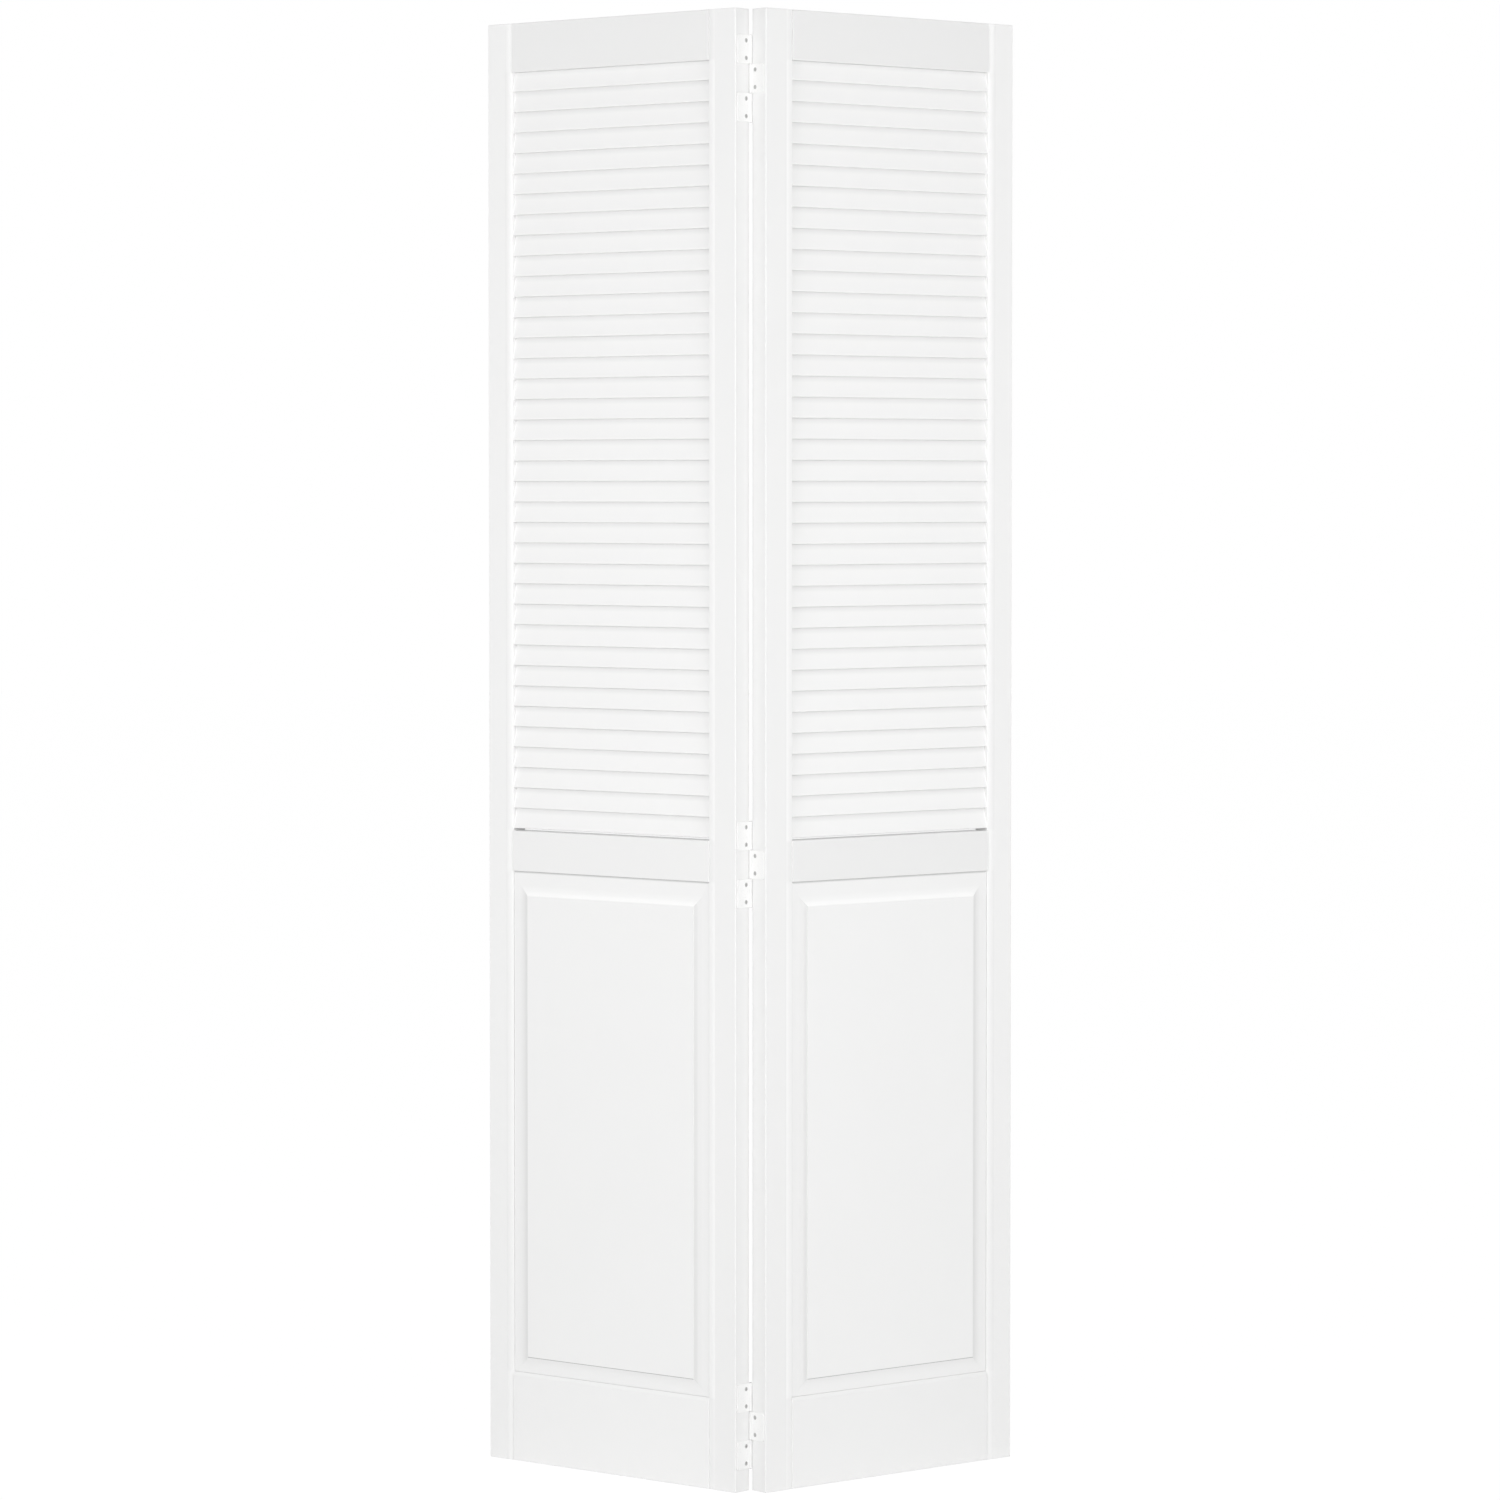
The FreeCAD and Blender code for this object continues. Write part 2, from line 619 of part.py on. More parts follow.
def make_tab(label, side, centre, hinge):
    """One tab of a hinge: a plate on the leaf's edge with a knuckle rolled round the pin."""
    body = new_body(label)
    low = "%s - tab_height/2" % centre
    high = "%s + tab_height/2" % centre
    tip = "-(pin_setback + tab_reach)"
    plate = new_sketch(body, "PlateOutline", "YZ_Plane", "%d*leaf_gap/2" % side)
    draw_outline(plate, [
        line_to("0", low),
        line_to("0", high),
        line_to(tip + " + tab_corner", high),
        arc_to(tip, high + " - tab_corner", "tab_corner", 1),
        line_to(tip, low + " + tab_corner"),
        arc_to(tip + " + tab_corner", low, "tab_corner", 1),
    ])
    pad(body, "Plate", plate, "tab_thickness", flip=side > 0)

    barrel = new_sketch(body, "KnuckleCircle", "XY_Plane", low)
    draw_circles(barrel, [("0", "0")], "knuckle_diameter")
    pad(body, "Knuckle", barrel, "tab_height")
    bore = new_sketch(body, "PinCircle", "XY_Plane", high)
    draw_circles(bore, [("0", "0")], "pin_diameter + 2*pin_clearance")
    pocket(body, "PinBore", bore, "tab_height")

    seats = new_sketch(body, "ScrewCircles", "YZ_Plane", "%d*(leaf_gap/2 - tab_thickness)" % side)
    draw_circles(seats, [("-(pin_setback + screw_setback)", "%s - screw_pitch/2" % centre),
                         ("-(pin_setback + screw_setback)", "%s + screw_pitch/2" % centre)],
                 "screw_diameter + 2*screw_clearance")
    drill(body, "ScrewSeats", seats, "screw_diameter + 2*screw_clearance", COUNTERSUNK,
          {"HoleCutDiameter": "screw_head_diameter + 2*screw_clearance",
           "HoleCutCountersinkAngle": "countersink_angle"}, side > 0)
    set_in_leaf(body, side, "0", "0", hinge)
    return body


def make_pin(label, hinge):
    """A hinge pin, headed at both ends, which turns with the left leaf."""
    body = new_body(label)
    half = "hinge_height/2"
    end = "(hinge_height/2 + pin_head_height)"
    radius = "pin_diameter/2"
    head = "pin_head_diameter/2"
    profile = new_sketch(body, "HalfSection", "XZ_Plane")
    draw_outline(profile, [
        line_to("0", "-" + end),
        line_to(head + " - pin_head_chamfer", "-" + end),
        line_to(head, "-%s + pin_head_chamfer" % end),
        line_to(head, "-" + half),
        line_to(radius, "-" + half),
        line_to(radius, half),
        line_to(head, half),
        line_to(head, end + " - pin_head_chamfer"),
        line_to(head + " - pin_head_chamfer", end),
        line_to("0", end),
    ])
    turned = body.newObject("PartDesign::Revolution", "Turned")
    turned.Profile = profile
    turned.ReferenceAxis = (profile, ["V_Axis"])
    turned.Angle = 360
    set_in_leaf(body, -1, "0", "0", hinge)
    return body


def make_screws(label, side, hinge):
    """A leaf's screws at one hinge: countersunk, with a cross recess, heads flush with the tabs."""
    body = new_body(label)
    lowest = hinge_screw_heights(side)[0]
    shank = "screw_diameter/2"
    head = "screw_head_diameter/2"
    profile = new_sketch(body, "HalfSection", "XY_Plane", lowest)
    draw_outline(profile, [
        line_to("0", "0"),
        line_to("0", head),
        line_to("%d*screw_head_height" % side, shank),
        line_to("%d*(screw_length - screw_point)" % side, shank),
        line_to("%d*screw_length" % side, "0"),
    ])
    turned = body.newObject("PartDesign::Revolution", "Turned")
    turned.Profile = profile
    turned.ReferenceAxis = (profile, ["H_Axis"])
    turned.Angle = 360

    arm = "recess_span/2"
    slot = "recess_slot/2"
    cross = new_sketch(body, "CrossOutline", "YZ_Plane")
    corners = ((arm, slot), (slot, slot), (slot, arm))
    stretches = []
    for y_sign, z_sign, order in ((1, 1, 1), (-1, 1, -1), (-1, -1, 1), (1, -1, -1)):
        for y, z in corners[::order]:
            stretches.append(line_to("%d*%s" % (y_sign, y), "%s + (%d)*%s" % (lowest, z_sign, z)))
    draw_outline(cross, stretches)
    pocket(body, "CrossRecess", cross, "recess_depth", side > 0)

    repeat_up(body, "TabPair", [], "2", "screw_pitch")
    if side < 0:
        mirror(body, "OtherTab", [], "XY_Plane")
    # The heads lie flush in the face of the tabs.
    set_in_leaf(body, side, "leaf_gap/2 - tab_thickness", "-(pin_setback + screw_setback)", hinge)
    return body


# ---------------------------------------------------------------- the door

def make_leaf(leaf, side, pivot_bores):
    outer = make_stile("%s_outer_stile" % leaf, side, -side, "outer_stile_width",
                       "leaf_gap/2 + leaf_width", pivot_bores, False)
    meeting = make_stile("%s_hinge_stile" % leaf, side, side, "hinge_stile_width", "leaf_gap/2", (), True)
    pieces = [outer, meeting]
    for rail in RAIL_SECTIONS:
        pieces.append(make_rail(leaf, side, rail))
        pieces.append(make_dowels(leaf, side, rail))
    pieces.append(make_slats(leaf, side))
    pieces.append(make_panel(leaf, side))
    return pieces


def make_hinge(name, hinge):
    return [
        make_tab("%s_hinge_upper_tab" % name, -1, "tab_centre", hinge),
        make_tab("%s_hinge_middle_tab" % name, 1, "0", hinge),
        make_tab("%s_hinge_lower_tab" % name, -1, "-tab_centre", hinge),
        make_pin("%s_hinge_pin" % name, hinge),
        make_screws("%s_hinge_left_screws" % name, -1, hinge),
        make_screws("%s_hinge_right_screws" % name, 1, hinge),
    ]


head_bore = ("Head", "door_height")
foot_bore = ("Foot", "0")
nodes = []
# The left leaf carries the pivots at its head and foot, the right one the guide at its head.
for (leaf_name, leaf_side), bores in zip(LEAVES, ((head_bore, foot_bore), (head_bore,))):
    nodes += make_leaf(leaf_name, leaf_side, bores)
for hinge_name, hinge_centre in HINGES:
    nodes += make_hinge(hinge_name, hinge_centre)

doc.recompute()
for thing in doc.Objects:
    if "Invalid" in thing.State or "Error" in thing.State:
        raise RuntimeError("%s failed: %s" % (thing.Label, thing.State))
for node in nodes:
    if node.Shape.isNull() or not node.Shape.isValid():
        raise RuntimeError("%s has no valid shape" % node.Label)

os.makedirs("parts", exist_ok=True)
for node in nodes:
    node.Shape.exportStep("parts/%s.step" % node.Label)
    print("%-30s %3d solids %12.1f mm3" % (node.Label, len(node.Shape.Solids), node.Shape.Volume))
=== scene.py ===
# %% [markdown]
# A bifold closet door, finished. The construction is already fixed: thirty-eight wooden and
# steel nodes stand in the frame, in metres, each at its own place. This script gives them the
# looks: moulded and eased boards under semi-gloss paint, rounded louvre slats, a raised panel
# with crisp mitres, and hinges with rolled knuckles and cross-recess screws.
#
# Each finished piece is worked out with numpy from the box of the node that it stands for, so
# it sits exactly where the construction put it.

import json
import math

import bmesh
import bpy
import numpy as np
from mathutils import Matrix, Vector
from mathutils.geometry import tessellate_polygon


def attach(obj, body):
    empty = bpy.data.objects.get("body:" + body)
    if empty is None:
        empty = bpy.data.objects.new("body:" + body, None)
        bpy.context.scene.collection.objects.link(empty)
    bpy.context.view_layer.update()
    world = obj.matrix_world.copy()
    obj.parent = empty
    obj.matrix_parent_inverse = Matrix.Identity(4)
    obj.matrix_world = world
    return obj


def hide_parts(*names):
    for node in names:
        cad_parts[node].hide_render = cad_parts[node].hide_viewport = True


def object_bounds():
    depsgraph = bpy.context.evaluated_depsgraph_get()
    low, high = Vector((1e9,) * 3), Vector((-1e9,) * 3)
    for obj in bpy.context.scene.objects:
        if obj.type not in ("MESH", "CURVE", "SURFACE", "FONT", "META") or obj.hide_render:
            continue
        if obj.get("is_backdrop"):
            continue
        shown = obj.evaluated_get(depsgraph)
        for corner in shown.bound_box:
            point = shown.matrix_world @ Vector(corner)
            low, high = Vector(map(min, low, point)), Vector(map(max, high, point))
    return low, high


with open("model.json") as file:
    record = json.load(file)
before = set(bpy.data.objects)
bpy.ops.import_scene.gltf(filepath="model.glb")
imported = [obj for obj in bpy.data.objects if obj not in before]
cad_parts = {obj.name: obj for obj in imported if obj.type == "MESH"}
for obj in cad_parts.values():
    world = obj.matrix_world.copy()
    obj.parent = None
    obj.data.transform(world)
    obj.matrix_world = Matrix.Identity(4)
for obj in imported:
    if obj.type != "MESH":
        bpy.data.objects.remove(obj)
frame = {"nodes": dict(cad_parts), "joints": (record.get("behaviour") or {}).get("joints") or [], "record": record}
cad_low, cad_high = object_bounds()
scene = bpy.context.scene
MM = 0.001

# %% [markdown]
# Both leaves are the same door drawn twice, so every piece is worked out once, in the frame of
# its leaf, and then set into the door. A point of a leaf has three numbers: how far along the
# leaf it is from the hinge pins, how far across it is (negative toward the room), and how high.
# Mirroring the first number gives the left leaf, and a turn about the pins folds it. A mirror
# modifier and a parent could do the same, but a finished piece has to carry its place in its own
# points. The pins' place and the fold come from the door's one joint, whose lower limit is the
# door closed flat.

# %% the frame of a leaf
SIDES = {"left": -1, "right": 1}
fold_joint = frame["joints"][0]
pins = np.array(fold_joint["pos_m"], float)
fold = math.radians(-fold_joint["range_deg"][0] / 2)


def to_door(points, side):
    """Leaf points set into the door: mirrored by side, then turned by side*fold about the pins."""
    turn = side * fold
    x = side * points[..., 0]
    y = points[..., 1]
    return np.stack([x * math.cos(turn) - y * math.sin(turn) + pins[0],
                     x * math.sin(turn) + y * math.cos(turn) + pins[1],
                     points[..., 2]], axis=-1)


def to_leaf(points, side):
    """Door points seen in the leaf: the turn about the pins undone, then the mirroring."""
    turn = side * fold
    x = points[..., 0] - pins[0]
    y = points[..., 1] - pins[1]
    return np.stack([side * (x * math.cos(turn) + y * math.sin(turn)),
                     y * math.cos(turn) - x * math.sin(turn),
                     points[..., 2]], axis=-1)


def leaf_box(node, side):
    """The lowest and highest along, across and height of a node, in its leaf."""
    mesh = frame["nodes"][node].data
    flat = np.zeros(len(mesh.vertices) * 3)
    mesh.vertices.foreach_get("co", flat)
    points = to_leaf(flat.reshape(-1, 3), side)
    return points.min(axis=0), points.max(axis=0)


stile_low, stile_high = leaf_box("right_hinge_stile", 1)
FACE = stile_low[1]              # across of the room-side face
BACK = stile_high[1]             # and of the back face
MIDDLE = (FACE + BACK) / 2
THICKNESS = BACK - FACE
print("fold %.1f degrees, stiles %.1f x %.1f mm" % (
    math.degrees(fold), (stile_high[0] - stile_low[0]) / MM, THICKNESS / MM))

# %% [markdown]
# The camera stands nearly eight metres away with a long lens, a little above the middle of the
# door, so that both leaves fall away evenly from the fold. A nearer one with a shorter lens would
# spread the fold. It looks a touch downward. A small shift lifts the door into the middle of the
# picture, and it stays small because the other views keep it.

# %% camera
CAMERA_PLACE = (-0.0114, -7.743, 1.3585)
CAMERA_LENS = 135.1
CAMERA_DIP = 2.182               # degrees below level
CAMERA_SHIFT = (0.0052, -0.03)
SENSOR_WIDTH = 36.0              # millimetres, as the lens
CAMERA_REACH = 200.0             # metres, past the floor's far edge

camera = bpy.data.objects.new("camera", bpy.data.cameras.new("camera"))
camera.location = CAMERA_PLACE
camera.rotation_euler = (math.radians(90 - CAMERA_DIP), 0, 0)
camera.data.lens = CAMERA_LENS
camera.data.sensor_width = SENSOR_WIDTH
camera.data.shift_x, camera.data.shift_y = CAMERA_SHIFT
camera.data.clip_end = CAMERA_REACH
scene.collection.objects.link(camera)
scene.camera = camera
print("camera: lens %.1f mm, %.1f degrees down" % (CAMERA_LENS, CAMERA_DIP))

# %% [markdown]
# A white door on white needs gentle light from all round, so that the hollows of the mouldings
# read, and some from the front, so that they stay pale. Part of it comes from the whole sky. A
# brighter sky could make the background white too, but it would wash the door out. So the kind of
# ray decides: the camera, gloss and glass see plain white, and the door gets a dimmer light.

# %% sky
SKY_STRENGTH = 0.45              # for diffuse rays
SEEN_STRENGTH = 1.0              # for the camera, for gloss and through glass

scene.view_settings.view_transform = "Standard"


def link(tree, source, target):
    """Join an output to an input."""
    tree.links.new(source, target)


def seen_directly(tree):
    """1 on a ray from the camera, a reflection or a refraction, and 0 on a diffuse one."""
    path = tree.nodes.new("ShaderNodeLightPath")
    seen = path.outputs["Is Camera Ray"]
    for other in ("Is Glossy Ray", "Is Transmission Ray"):
        larger = tree.nodes.new("ShaderNodeMath")
        larger.operation = "MAXIMUM"
        link(tree, seen, larger.inputs[0])
        link(tree, path.outputs[other], larger.inputs[1])
        seen = larger.outputs[0]
    return seen


def ramp_between(tree, factor, low, high):
    """A number that goes from low to high as the factor goes from 0 to 1."""
    blend = tree.nodes.new("ShaderNodeMapRange")
    blend.inputs["To Min"].default_value = low
    blend.inputs["To Max"].default_value = high
    link(tree, factor, blend.inputs["Value"])
    return blend.outputs["Result"]


world = bpy.data.worlds.new("studio")
world.use_nodes = True
scene.world = world
sky = world.node_tree
sky_light = sky.nodes["Background"]
sky_light.inputs["Color"].default_value = (1, 1, 1, 1)
sky_strength = ramp_between(sky, seen_directly(sky), SKY_STRENGTH, SEEN_STRENGTH)
link(sky, sky_strength, sky_light.inputs["Strength"])
print("sky:", SKY_STRENGTH, "on diffuse rays,", SEEN_STRENGTH, "seen directly")

# %% [markdown]
# The rest comes from two wide soft boxes in front, one square to each leaf, so that both leaves
# and the walls of the groove between them are equally bright. A sun lamp would draw hard edges
# under the slats, where an area lamp this wide keeps them soft. The boxes hang a little below the
# door's head and are turned well down, so that its foot gets about as much light.

# %% soft boxes
BOX_APART = 3.6                  # from the middle, to each side
BOX_AWAY = 4.6                   # in front of the door
BOX_HEIGHT = 1.75
BOX_SIZE = 2.0
BOX_POWER = 140.0                # watts each
BOX_AIM = Vector((0, 0, -0.5))   # below the floor, which turns the boxes down

for name, side in SIDES.items():
    lamp = bpy.data.lights.new(name + "_soft_box", "AREA")
    lamp.size = BOX_SIZE
    lamp.energy = BOX_POWER
    box = bpy.data.objects.new(name + "_soft_box", lamp)
    box.location = (side * BOX_APART, -BOX_AWAY, BOX_HEIGHT)
    box.rotation_euler = (BOX_AIM - box.location).to_track_quat("-Z", "Y").to_euler()
    scene.collection.objects.link(box)
print("soft boxes: %.0f W each, %.1f m square" % (BOX_POWER, BOX_SIZE))

# %% [markdown]
# The floor is a wide pale sheet. To the camera it is mostly its own white, with a share of
# ordinary diffuse paint that catches the door's soft shadow. To the light that bounces up to
# the door it is white paint, a little dimmer than that, which fills the undersides. Plain white
# paint alone would turn grey where the lamps don't reach, and show its edge against the sky.

# %% floor
FLOOR_SIZE = 60.0
FLOOR_BOUNCE = 0.84              # the floor's paint, as the door sees it
FLOOR_WHITE = 1.06               # the floor's own white, which makes up for the paint's share
FLOOR_PAINT = 0.64               # the paint that takes the door's shadow
FLOOR_SHADOW_SHARE = 0.08        # how much of the floor's look is that paint


def matt(tree, value):
    """A diffuse shader of an even grey."""
    shader = tree.nodes.new("ShaderNodeBsdfDiffuse")
    shader.inputs["Color"].default_value = (value, value, value, 1)
    return shader.outputs[0]


def make_floor_finish():
    """Seen directly: own white with a share of paint. Otherwise: the paint that bounces light."""
    material = bpy.data.materials.new("pale_floor")
    material.use_nodes = True
    tree = material.node_tree
    tree.nodes.clear()
    own_white = tree.nodes.new("ShaderNodeEmission")
    own_white.inputs["Strength"].default_value = FLOOR_WHITE
    look = tree.nodes.new("ShaderNodeMixShader")
    look.inputs["Fac"].default_value = FLOOR_SHADOW_SHARE
    link(tree, own_white.outputs[0], look.inputs[1])
    link(tree, matt(tree, FLOOR_PAINT), look.inputs[2])
    seen = tree.nodes.new("ShaderNodeMixShader")
    link(tree, seen_directly(tree), seen.inputs["Fac"])
    link(tree, matt(tree, FLOOR_BOUNCE), seen.inputs[1])
    link(tree, look.outputs[0], seen.inputs[2])
    ground = tree.nodes.new("ShaderNodeOutputMaterial")
    link(tree, seen.outputs[0], ground.inputs["Surface"])
    return material


half = FLOOR_SIZE / 2
floor_mesh = bpy.data.meshes.new("floor")
floor_mesh.from_pydata([(-half, -half, 0), (half, -half, 0), (half, half, 0), (-half, half, 0)],
                       [], [(0, 1, 2, 3)])
floor_mesh.materials.append(make_floor_finish())
floor = bpy.data.objects.new("floor", floor_mesh)
scene.collection.objects.link(floor)
floor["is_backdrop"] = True
print("floor: %.0f m square" % FLOOR_SIZE)

# %% [markdown]
# A material is a tree of small nodes, whose sockets are joined to each other. They could be put
# together by hand in the shader editor, but with one short function for each kind of node a
# finish reads like a recipe. Each function adds its node and hands back what comes out of it.

# %% nodes that the finishes share
def new_material(name):
    """A node material with one Principled shader, returned with its tree and shader."""
    material = bpy.data.materials.new(name)
    material.use_nodes = True
    return material, material.node_tree, material.node_tree.nodes["Principled BSDF"]


def noise(tree, place, scale, detail):
    """Uneven noise from 0 to 1, with about scale blotches to a metre."""
    texture = tree.nodes.new("ShaderNodeTexNoise")
    texture.inputs["Scale"].default_value = scale
    texture.inputs["Detail"].default_value = detail
    link(tree, place, texture.inputs["Vector"])
    return texture.outputs["Fac"]


def stretched(tree, place, scale):
    """The place with each axis multiplied by its own number."""
    mapping = tree.nodes.new("ShaderNodeMapping")
    mapping.inputs["Scale"].default_value = scale
    link(tree, place, mapping.inputs["Vector"])
    return mapping.outputs["Vector"]


def attribute(tree, name, output):
    """What the mesh itself holds under a name."""
    reader = tree.nodes.new("ShaderNodeAttribute")
    reader.attribute_name = name
    return reader.outputs[output]


def bump(tree, height, depth, below=None):
    """A surface whose height varies by depth metres, over another bump."""
    relief = tree.nodes.new("ShaderNodeBump")
    relief.inputs["Distance"].default_value = depth
    link(tree, height, relief.inputs["Height"])
    if below is not None:
        link(tree, below, relief.inputs["Normal"])
    return relief.outputs["Normal"]


def multiplied(tree, number):
    """A node that multiplies a colour, which is still to be given, by a number."""
    product = tree.nodes.new("ShaderNodeVectorMath")
    product.operation = "SCALE"
    link(tree, number, product.inputs["Scale"])
    return product


def tinted(tree, colour, factor, low, high):
    """The colour multiplied by a number from low to high, as the factor goes from 0 to 1."""
    product = multiplied(tree, ramp_between(tree, factor, low, high))
    product.inputs[0].default_value = colour
    return product.outputs["Vector"]


print("nodes: ready")

# %% [markdown]
# The boards carry sprayed semi-gloss white paint. It is almost smooth, but the wood under it
# still shows as long, very shallow ripples along the grain, and the spray leaves a fine
# stipple. Both follow the board and not the room, so each point carries its place in its own
# board, with the board's length upward, as an attribute called grain. Object coordinates would
# run the figure of both leaves the same way through the room. A second attribute holds painted
# light and shade: painted highlights, a little whiter, on some mouldings and slats, and painted
# shade, a little greyer, in the hollows, beside the seam and on the slopes round the panel.

# %% painted wood
PAINT_COLOUR = (0.868, 0.868, 0.865)
PAINT_ROUGHNESS = (0.36, 0.48)
RIPPLE_STRETCH = (140.0, 140.0, 5.0)   # ripples per metre, across and along the grain
RIPPLE_DEPTH = 0.03 * MM
STIPPLE_SCALE = 900.0
STIPPLE_DEPTH = 0.012 * MM
CLOUD_SCALE = 7.0
CLOUD_TONES = (0.992, 1.008)     # the paint varies this little over a board


def make_paint():
    """The paint's colour times the cloud times the painted light and shade, over ripples and stipple."""
    material, tree, shader = new_material("white_paint")
    place = attribute(tree, "grain", "Vector")
    ripple = noise(tree, stretched(tree, place, RIPPLE_STRETCH), 1.0, 3.0)
    stipple = noise(tree, place, STIPPLE_SCALE, 2.0)
    relief = bump(tree, stipple, STIPPLE_DEPTH, bump(tree, ripple, RIPPLE_DEPTH))
    link(tree, relief, shader.inputs["Normal"])
    cloud = noise(tree, place, CLOUD_SCALE, 3.0)
    painted_light_colour = multiplied(tree, attribute(tree, "painted_light", "Fac"))
    link(tree, tinted(tree, PAINT_COLOUR, cloud, *CLOUD_TONES), painted_light_colour.inputs[0])
    link(tree, painted_light_colour.outputs["Vector"], shader.inputs["Base Color"])
    link(tree, ramp_between(tree, ripple, *PAINT_ROUGHNESS), shader.inputs["Roughness"])
    return material


white_paint = make_paint()
print("painted wood:", white_paint.name)

# %% [markdown]
# Two places are left bare: the dowels inside the joints and the walls of the pivot bores. Pine
# shows as pale bands along the grain with finer darker pores. A wave texture would make even
# bands, and stretched noise makes uneven ones, as wood has. The dowels keep the mesh of the
# construction, so this finish reads Object coordinates, and its bands run level, as they do.

# %% bare wood
PINE_LIGHT = (0.72, 0.53, 0.33, 1)
PINE_DARK = (0.55, 0.36, 0.19, 1)
PINE_ROUGHNESS = 0.72
RING_STRETCH = (30.0, 30.0, 420.0)     # bands per metre, closest from below upward
PORE_STRETCH = (200.0, 200.0, 1800.0)
PORE_DEPTH = 0.08 * MM


def make_bare_wood():
    """Pale to dark by the bands' noise, with the finer pores as relief."""
    material, tree, shader = new_material("bare_pine")
    place = tree.nodes.new("ShaderNodeTexCoord").outputs["Object"]
    rings = noise(tree, stretched(tree, place, RING_STRETCH), 1.0, 4.0)
    pores = noise(tree, stretched(tree, place, PORE_STRETCH), 1.0, 2.0)
    blend = tree.nodes.new("ShaderNodeMix")
    blend.data_type = "RGBA"
    blend.inputs["A"].default_value = PINE_LIGHT
    blend.inputs["B"].default_value = PINE_DARK
    link(tree, rings, blend.inputs["Factor"])
    link(tree, blend.outputs["Result"], shader.inputs["Base Color"])
    link(tree, bump(tree, pores, PORE_DEPTH), shader.inputs["Normal"])
    shader.inputs["Roughness"].default_value = PINE_ROUGHNESS
    return material


bare_pine = make_bare_wood()
print("bare wood:", bare_pine.name)

# %% [markdown]
# The hinges are stamped steel under a smooth baked enamel, whiter and glossier than the paint.
# Pins and screws are dull zinc plate with faint turning marks. Flat colours would do from afar,
# but close up a little unevenness in colour, gloss and height is what makes metal look real.

# %% hinge finishes
ENAMEL_COLOUR = (0.885, 0.885, 0.88)
ENAMEL_TONES = (0.985, 1.01)
ENAMEL_ROUGHNESS = (0.24, 0.34)
ENAMEL_SPECKS = 650.0            # per metre
ENAMEL_RIPPLES = 420.0
ZINC_COLOUR = (0.58, 0.58, 0.575)
ZINC_TONES = (0.93, 1.03)
TURNING_STRETCH = (300.0, 300.0, 5200.0)
METAL_RELIEF = 0.02 * MM


def make_enamel():
    """Specks that vary colour and gloss together, over a faint ripple."""
    material, tree, shader = new_material("white_enamel")
    place = tree.nodes.new("ShaderNodeTexCoord").outputs["Object"]
    speck = noise(tree, place, ENAMEL_SPECKS, 2.0)
    link(tree, tinted(tree, ENAMEL_COLOUR, speck, *ENAMEL_TONES), shader.inputs["Base Color"])
    link(tree, ramp_between(tree, speck, *ENAMEL_ROUGHNESS), shader.inputs["Roughness"])
    ripples = noise(tree, place, ENAMEL_RIPPLES, 1.0)
    link(tree, bump(tree, ripples, METAL_RELIEF), shader.inputs["Normal"])
    return material


def make_zinc(name, roughness):
    """Marks drawn out level that vary colour, gloss and height together."""
    material, tree, shader = new_material(name)
    place = tree.nodes.new("ShaderNodeTexCoord").outputs["Object"]
    marks = noise(tree, stretched(tree, place, TURNING_STRETCH), 1.0, 2.0)
    link(tree, tinted(tree, ZINC_COLOUR, marks, *ZINC_TONES), shader.inputs["Base Color"])
    link(tree, ramp_between(tree, marks, *roughness), shader.inputs["Roughness"])
    link(tree, bump(tree, marks, METAL_RELIEF), shader.inputs["Normal"])
    shader.inputs["Metallic"].default_value = 1.0
    return material


white_enamel = make_enamel()
pin_zinc = make_zinc("pin_zinc", (0.24, 0.38))
screw_zinc = make_zinc("screw_zinc", (0.32, 0.46))
print("hinge finishes:", white_enamel.name, pin_zinc.name, screw_zinc.name)

# %% [markdown]
# Nearly everything here is a profile carried along a straight path: a ring of points, repeated
# at several places, with the rings joined by four-sided faces. Blender's own extrude and screw
# tools do this by hand, but worked out as arrays the shape follows the boxes of the frame and has
# no step to repeat. A shell holds the points and faces of such a body until several are put
# together into one piece.

# %% shells
BARE = 1                         # the second finish of a piece


class Shell:
    """Points in a leaf's frame, faces that point outwards, and a tone of painted light and shade for each point.
    """

    def __init__(self, points, faces, tones=None):
        self.points = np.asarray(points, float)
        self.faces = faces
        self.tones = np.ones(len(self.points)) if tones is None else tones
        self.finishes = [0] * len(faces)
        self.creases = []


def loft(rings, tones=None, first_cap=True, wrap=False):
    """Join rings (ring, point, 3) that run anticlockwise about the path, seen from its far end.

    Face (r, i) joins points i and i+1 of rings r and r+1. A cap is the ring itself as one face.
    With wrap the last ring joins the first, and there are no caps.
    """
    count, size = rings.shape[:2]
    index = np.arange(count * size).reshape(count, size)
    here = index if wrap else index[:-1]
    above = np.roll(index, -1, axis=0) if wrap else index[1:]
    quads = np.stack([here, np.roll(here, -1, axis=1), np.roll(above, -1, axis=1), above], axis=-1)
    faces = quads.reshape(-1, 4).tolist()
    if not wrap and first_cap:
        faces.append(index[0, ::-1].tolist())
    if not wrap:
        faces.append(index[-1].tolist())
    if tones is not None:
        tones = np.broadcast_to(tones, (count, size)).reshape(-1)
    return Shell(rings.reshape(-1, 3), faces, tones)


def merge(shells):
    """Several shells as one, with the point numbers of each moved past those before it."""
    starts = np.cumsum([0] + [len(shell.points) for shell in shells[:-1]]).tolist()
    faces = [[corner + start for corner in face]
             for shell, start in zip(shells, starts) for face in shell.faces]
    return Shell(np.concatenate([shell.points for shell in shells]), faces,
                 np.concatenate([shell.tones for shell in shells]))


print("shells: ready")
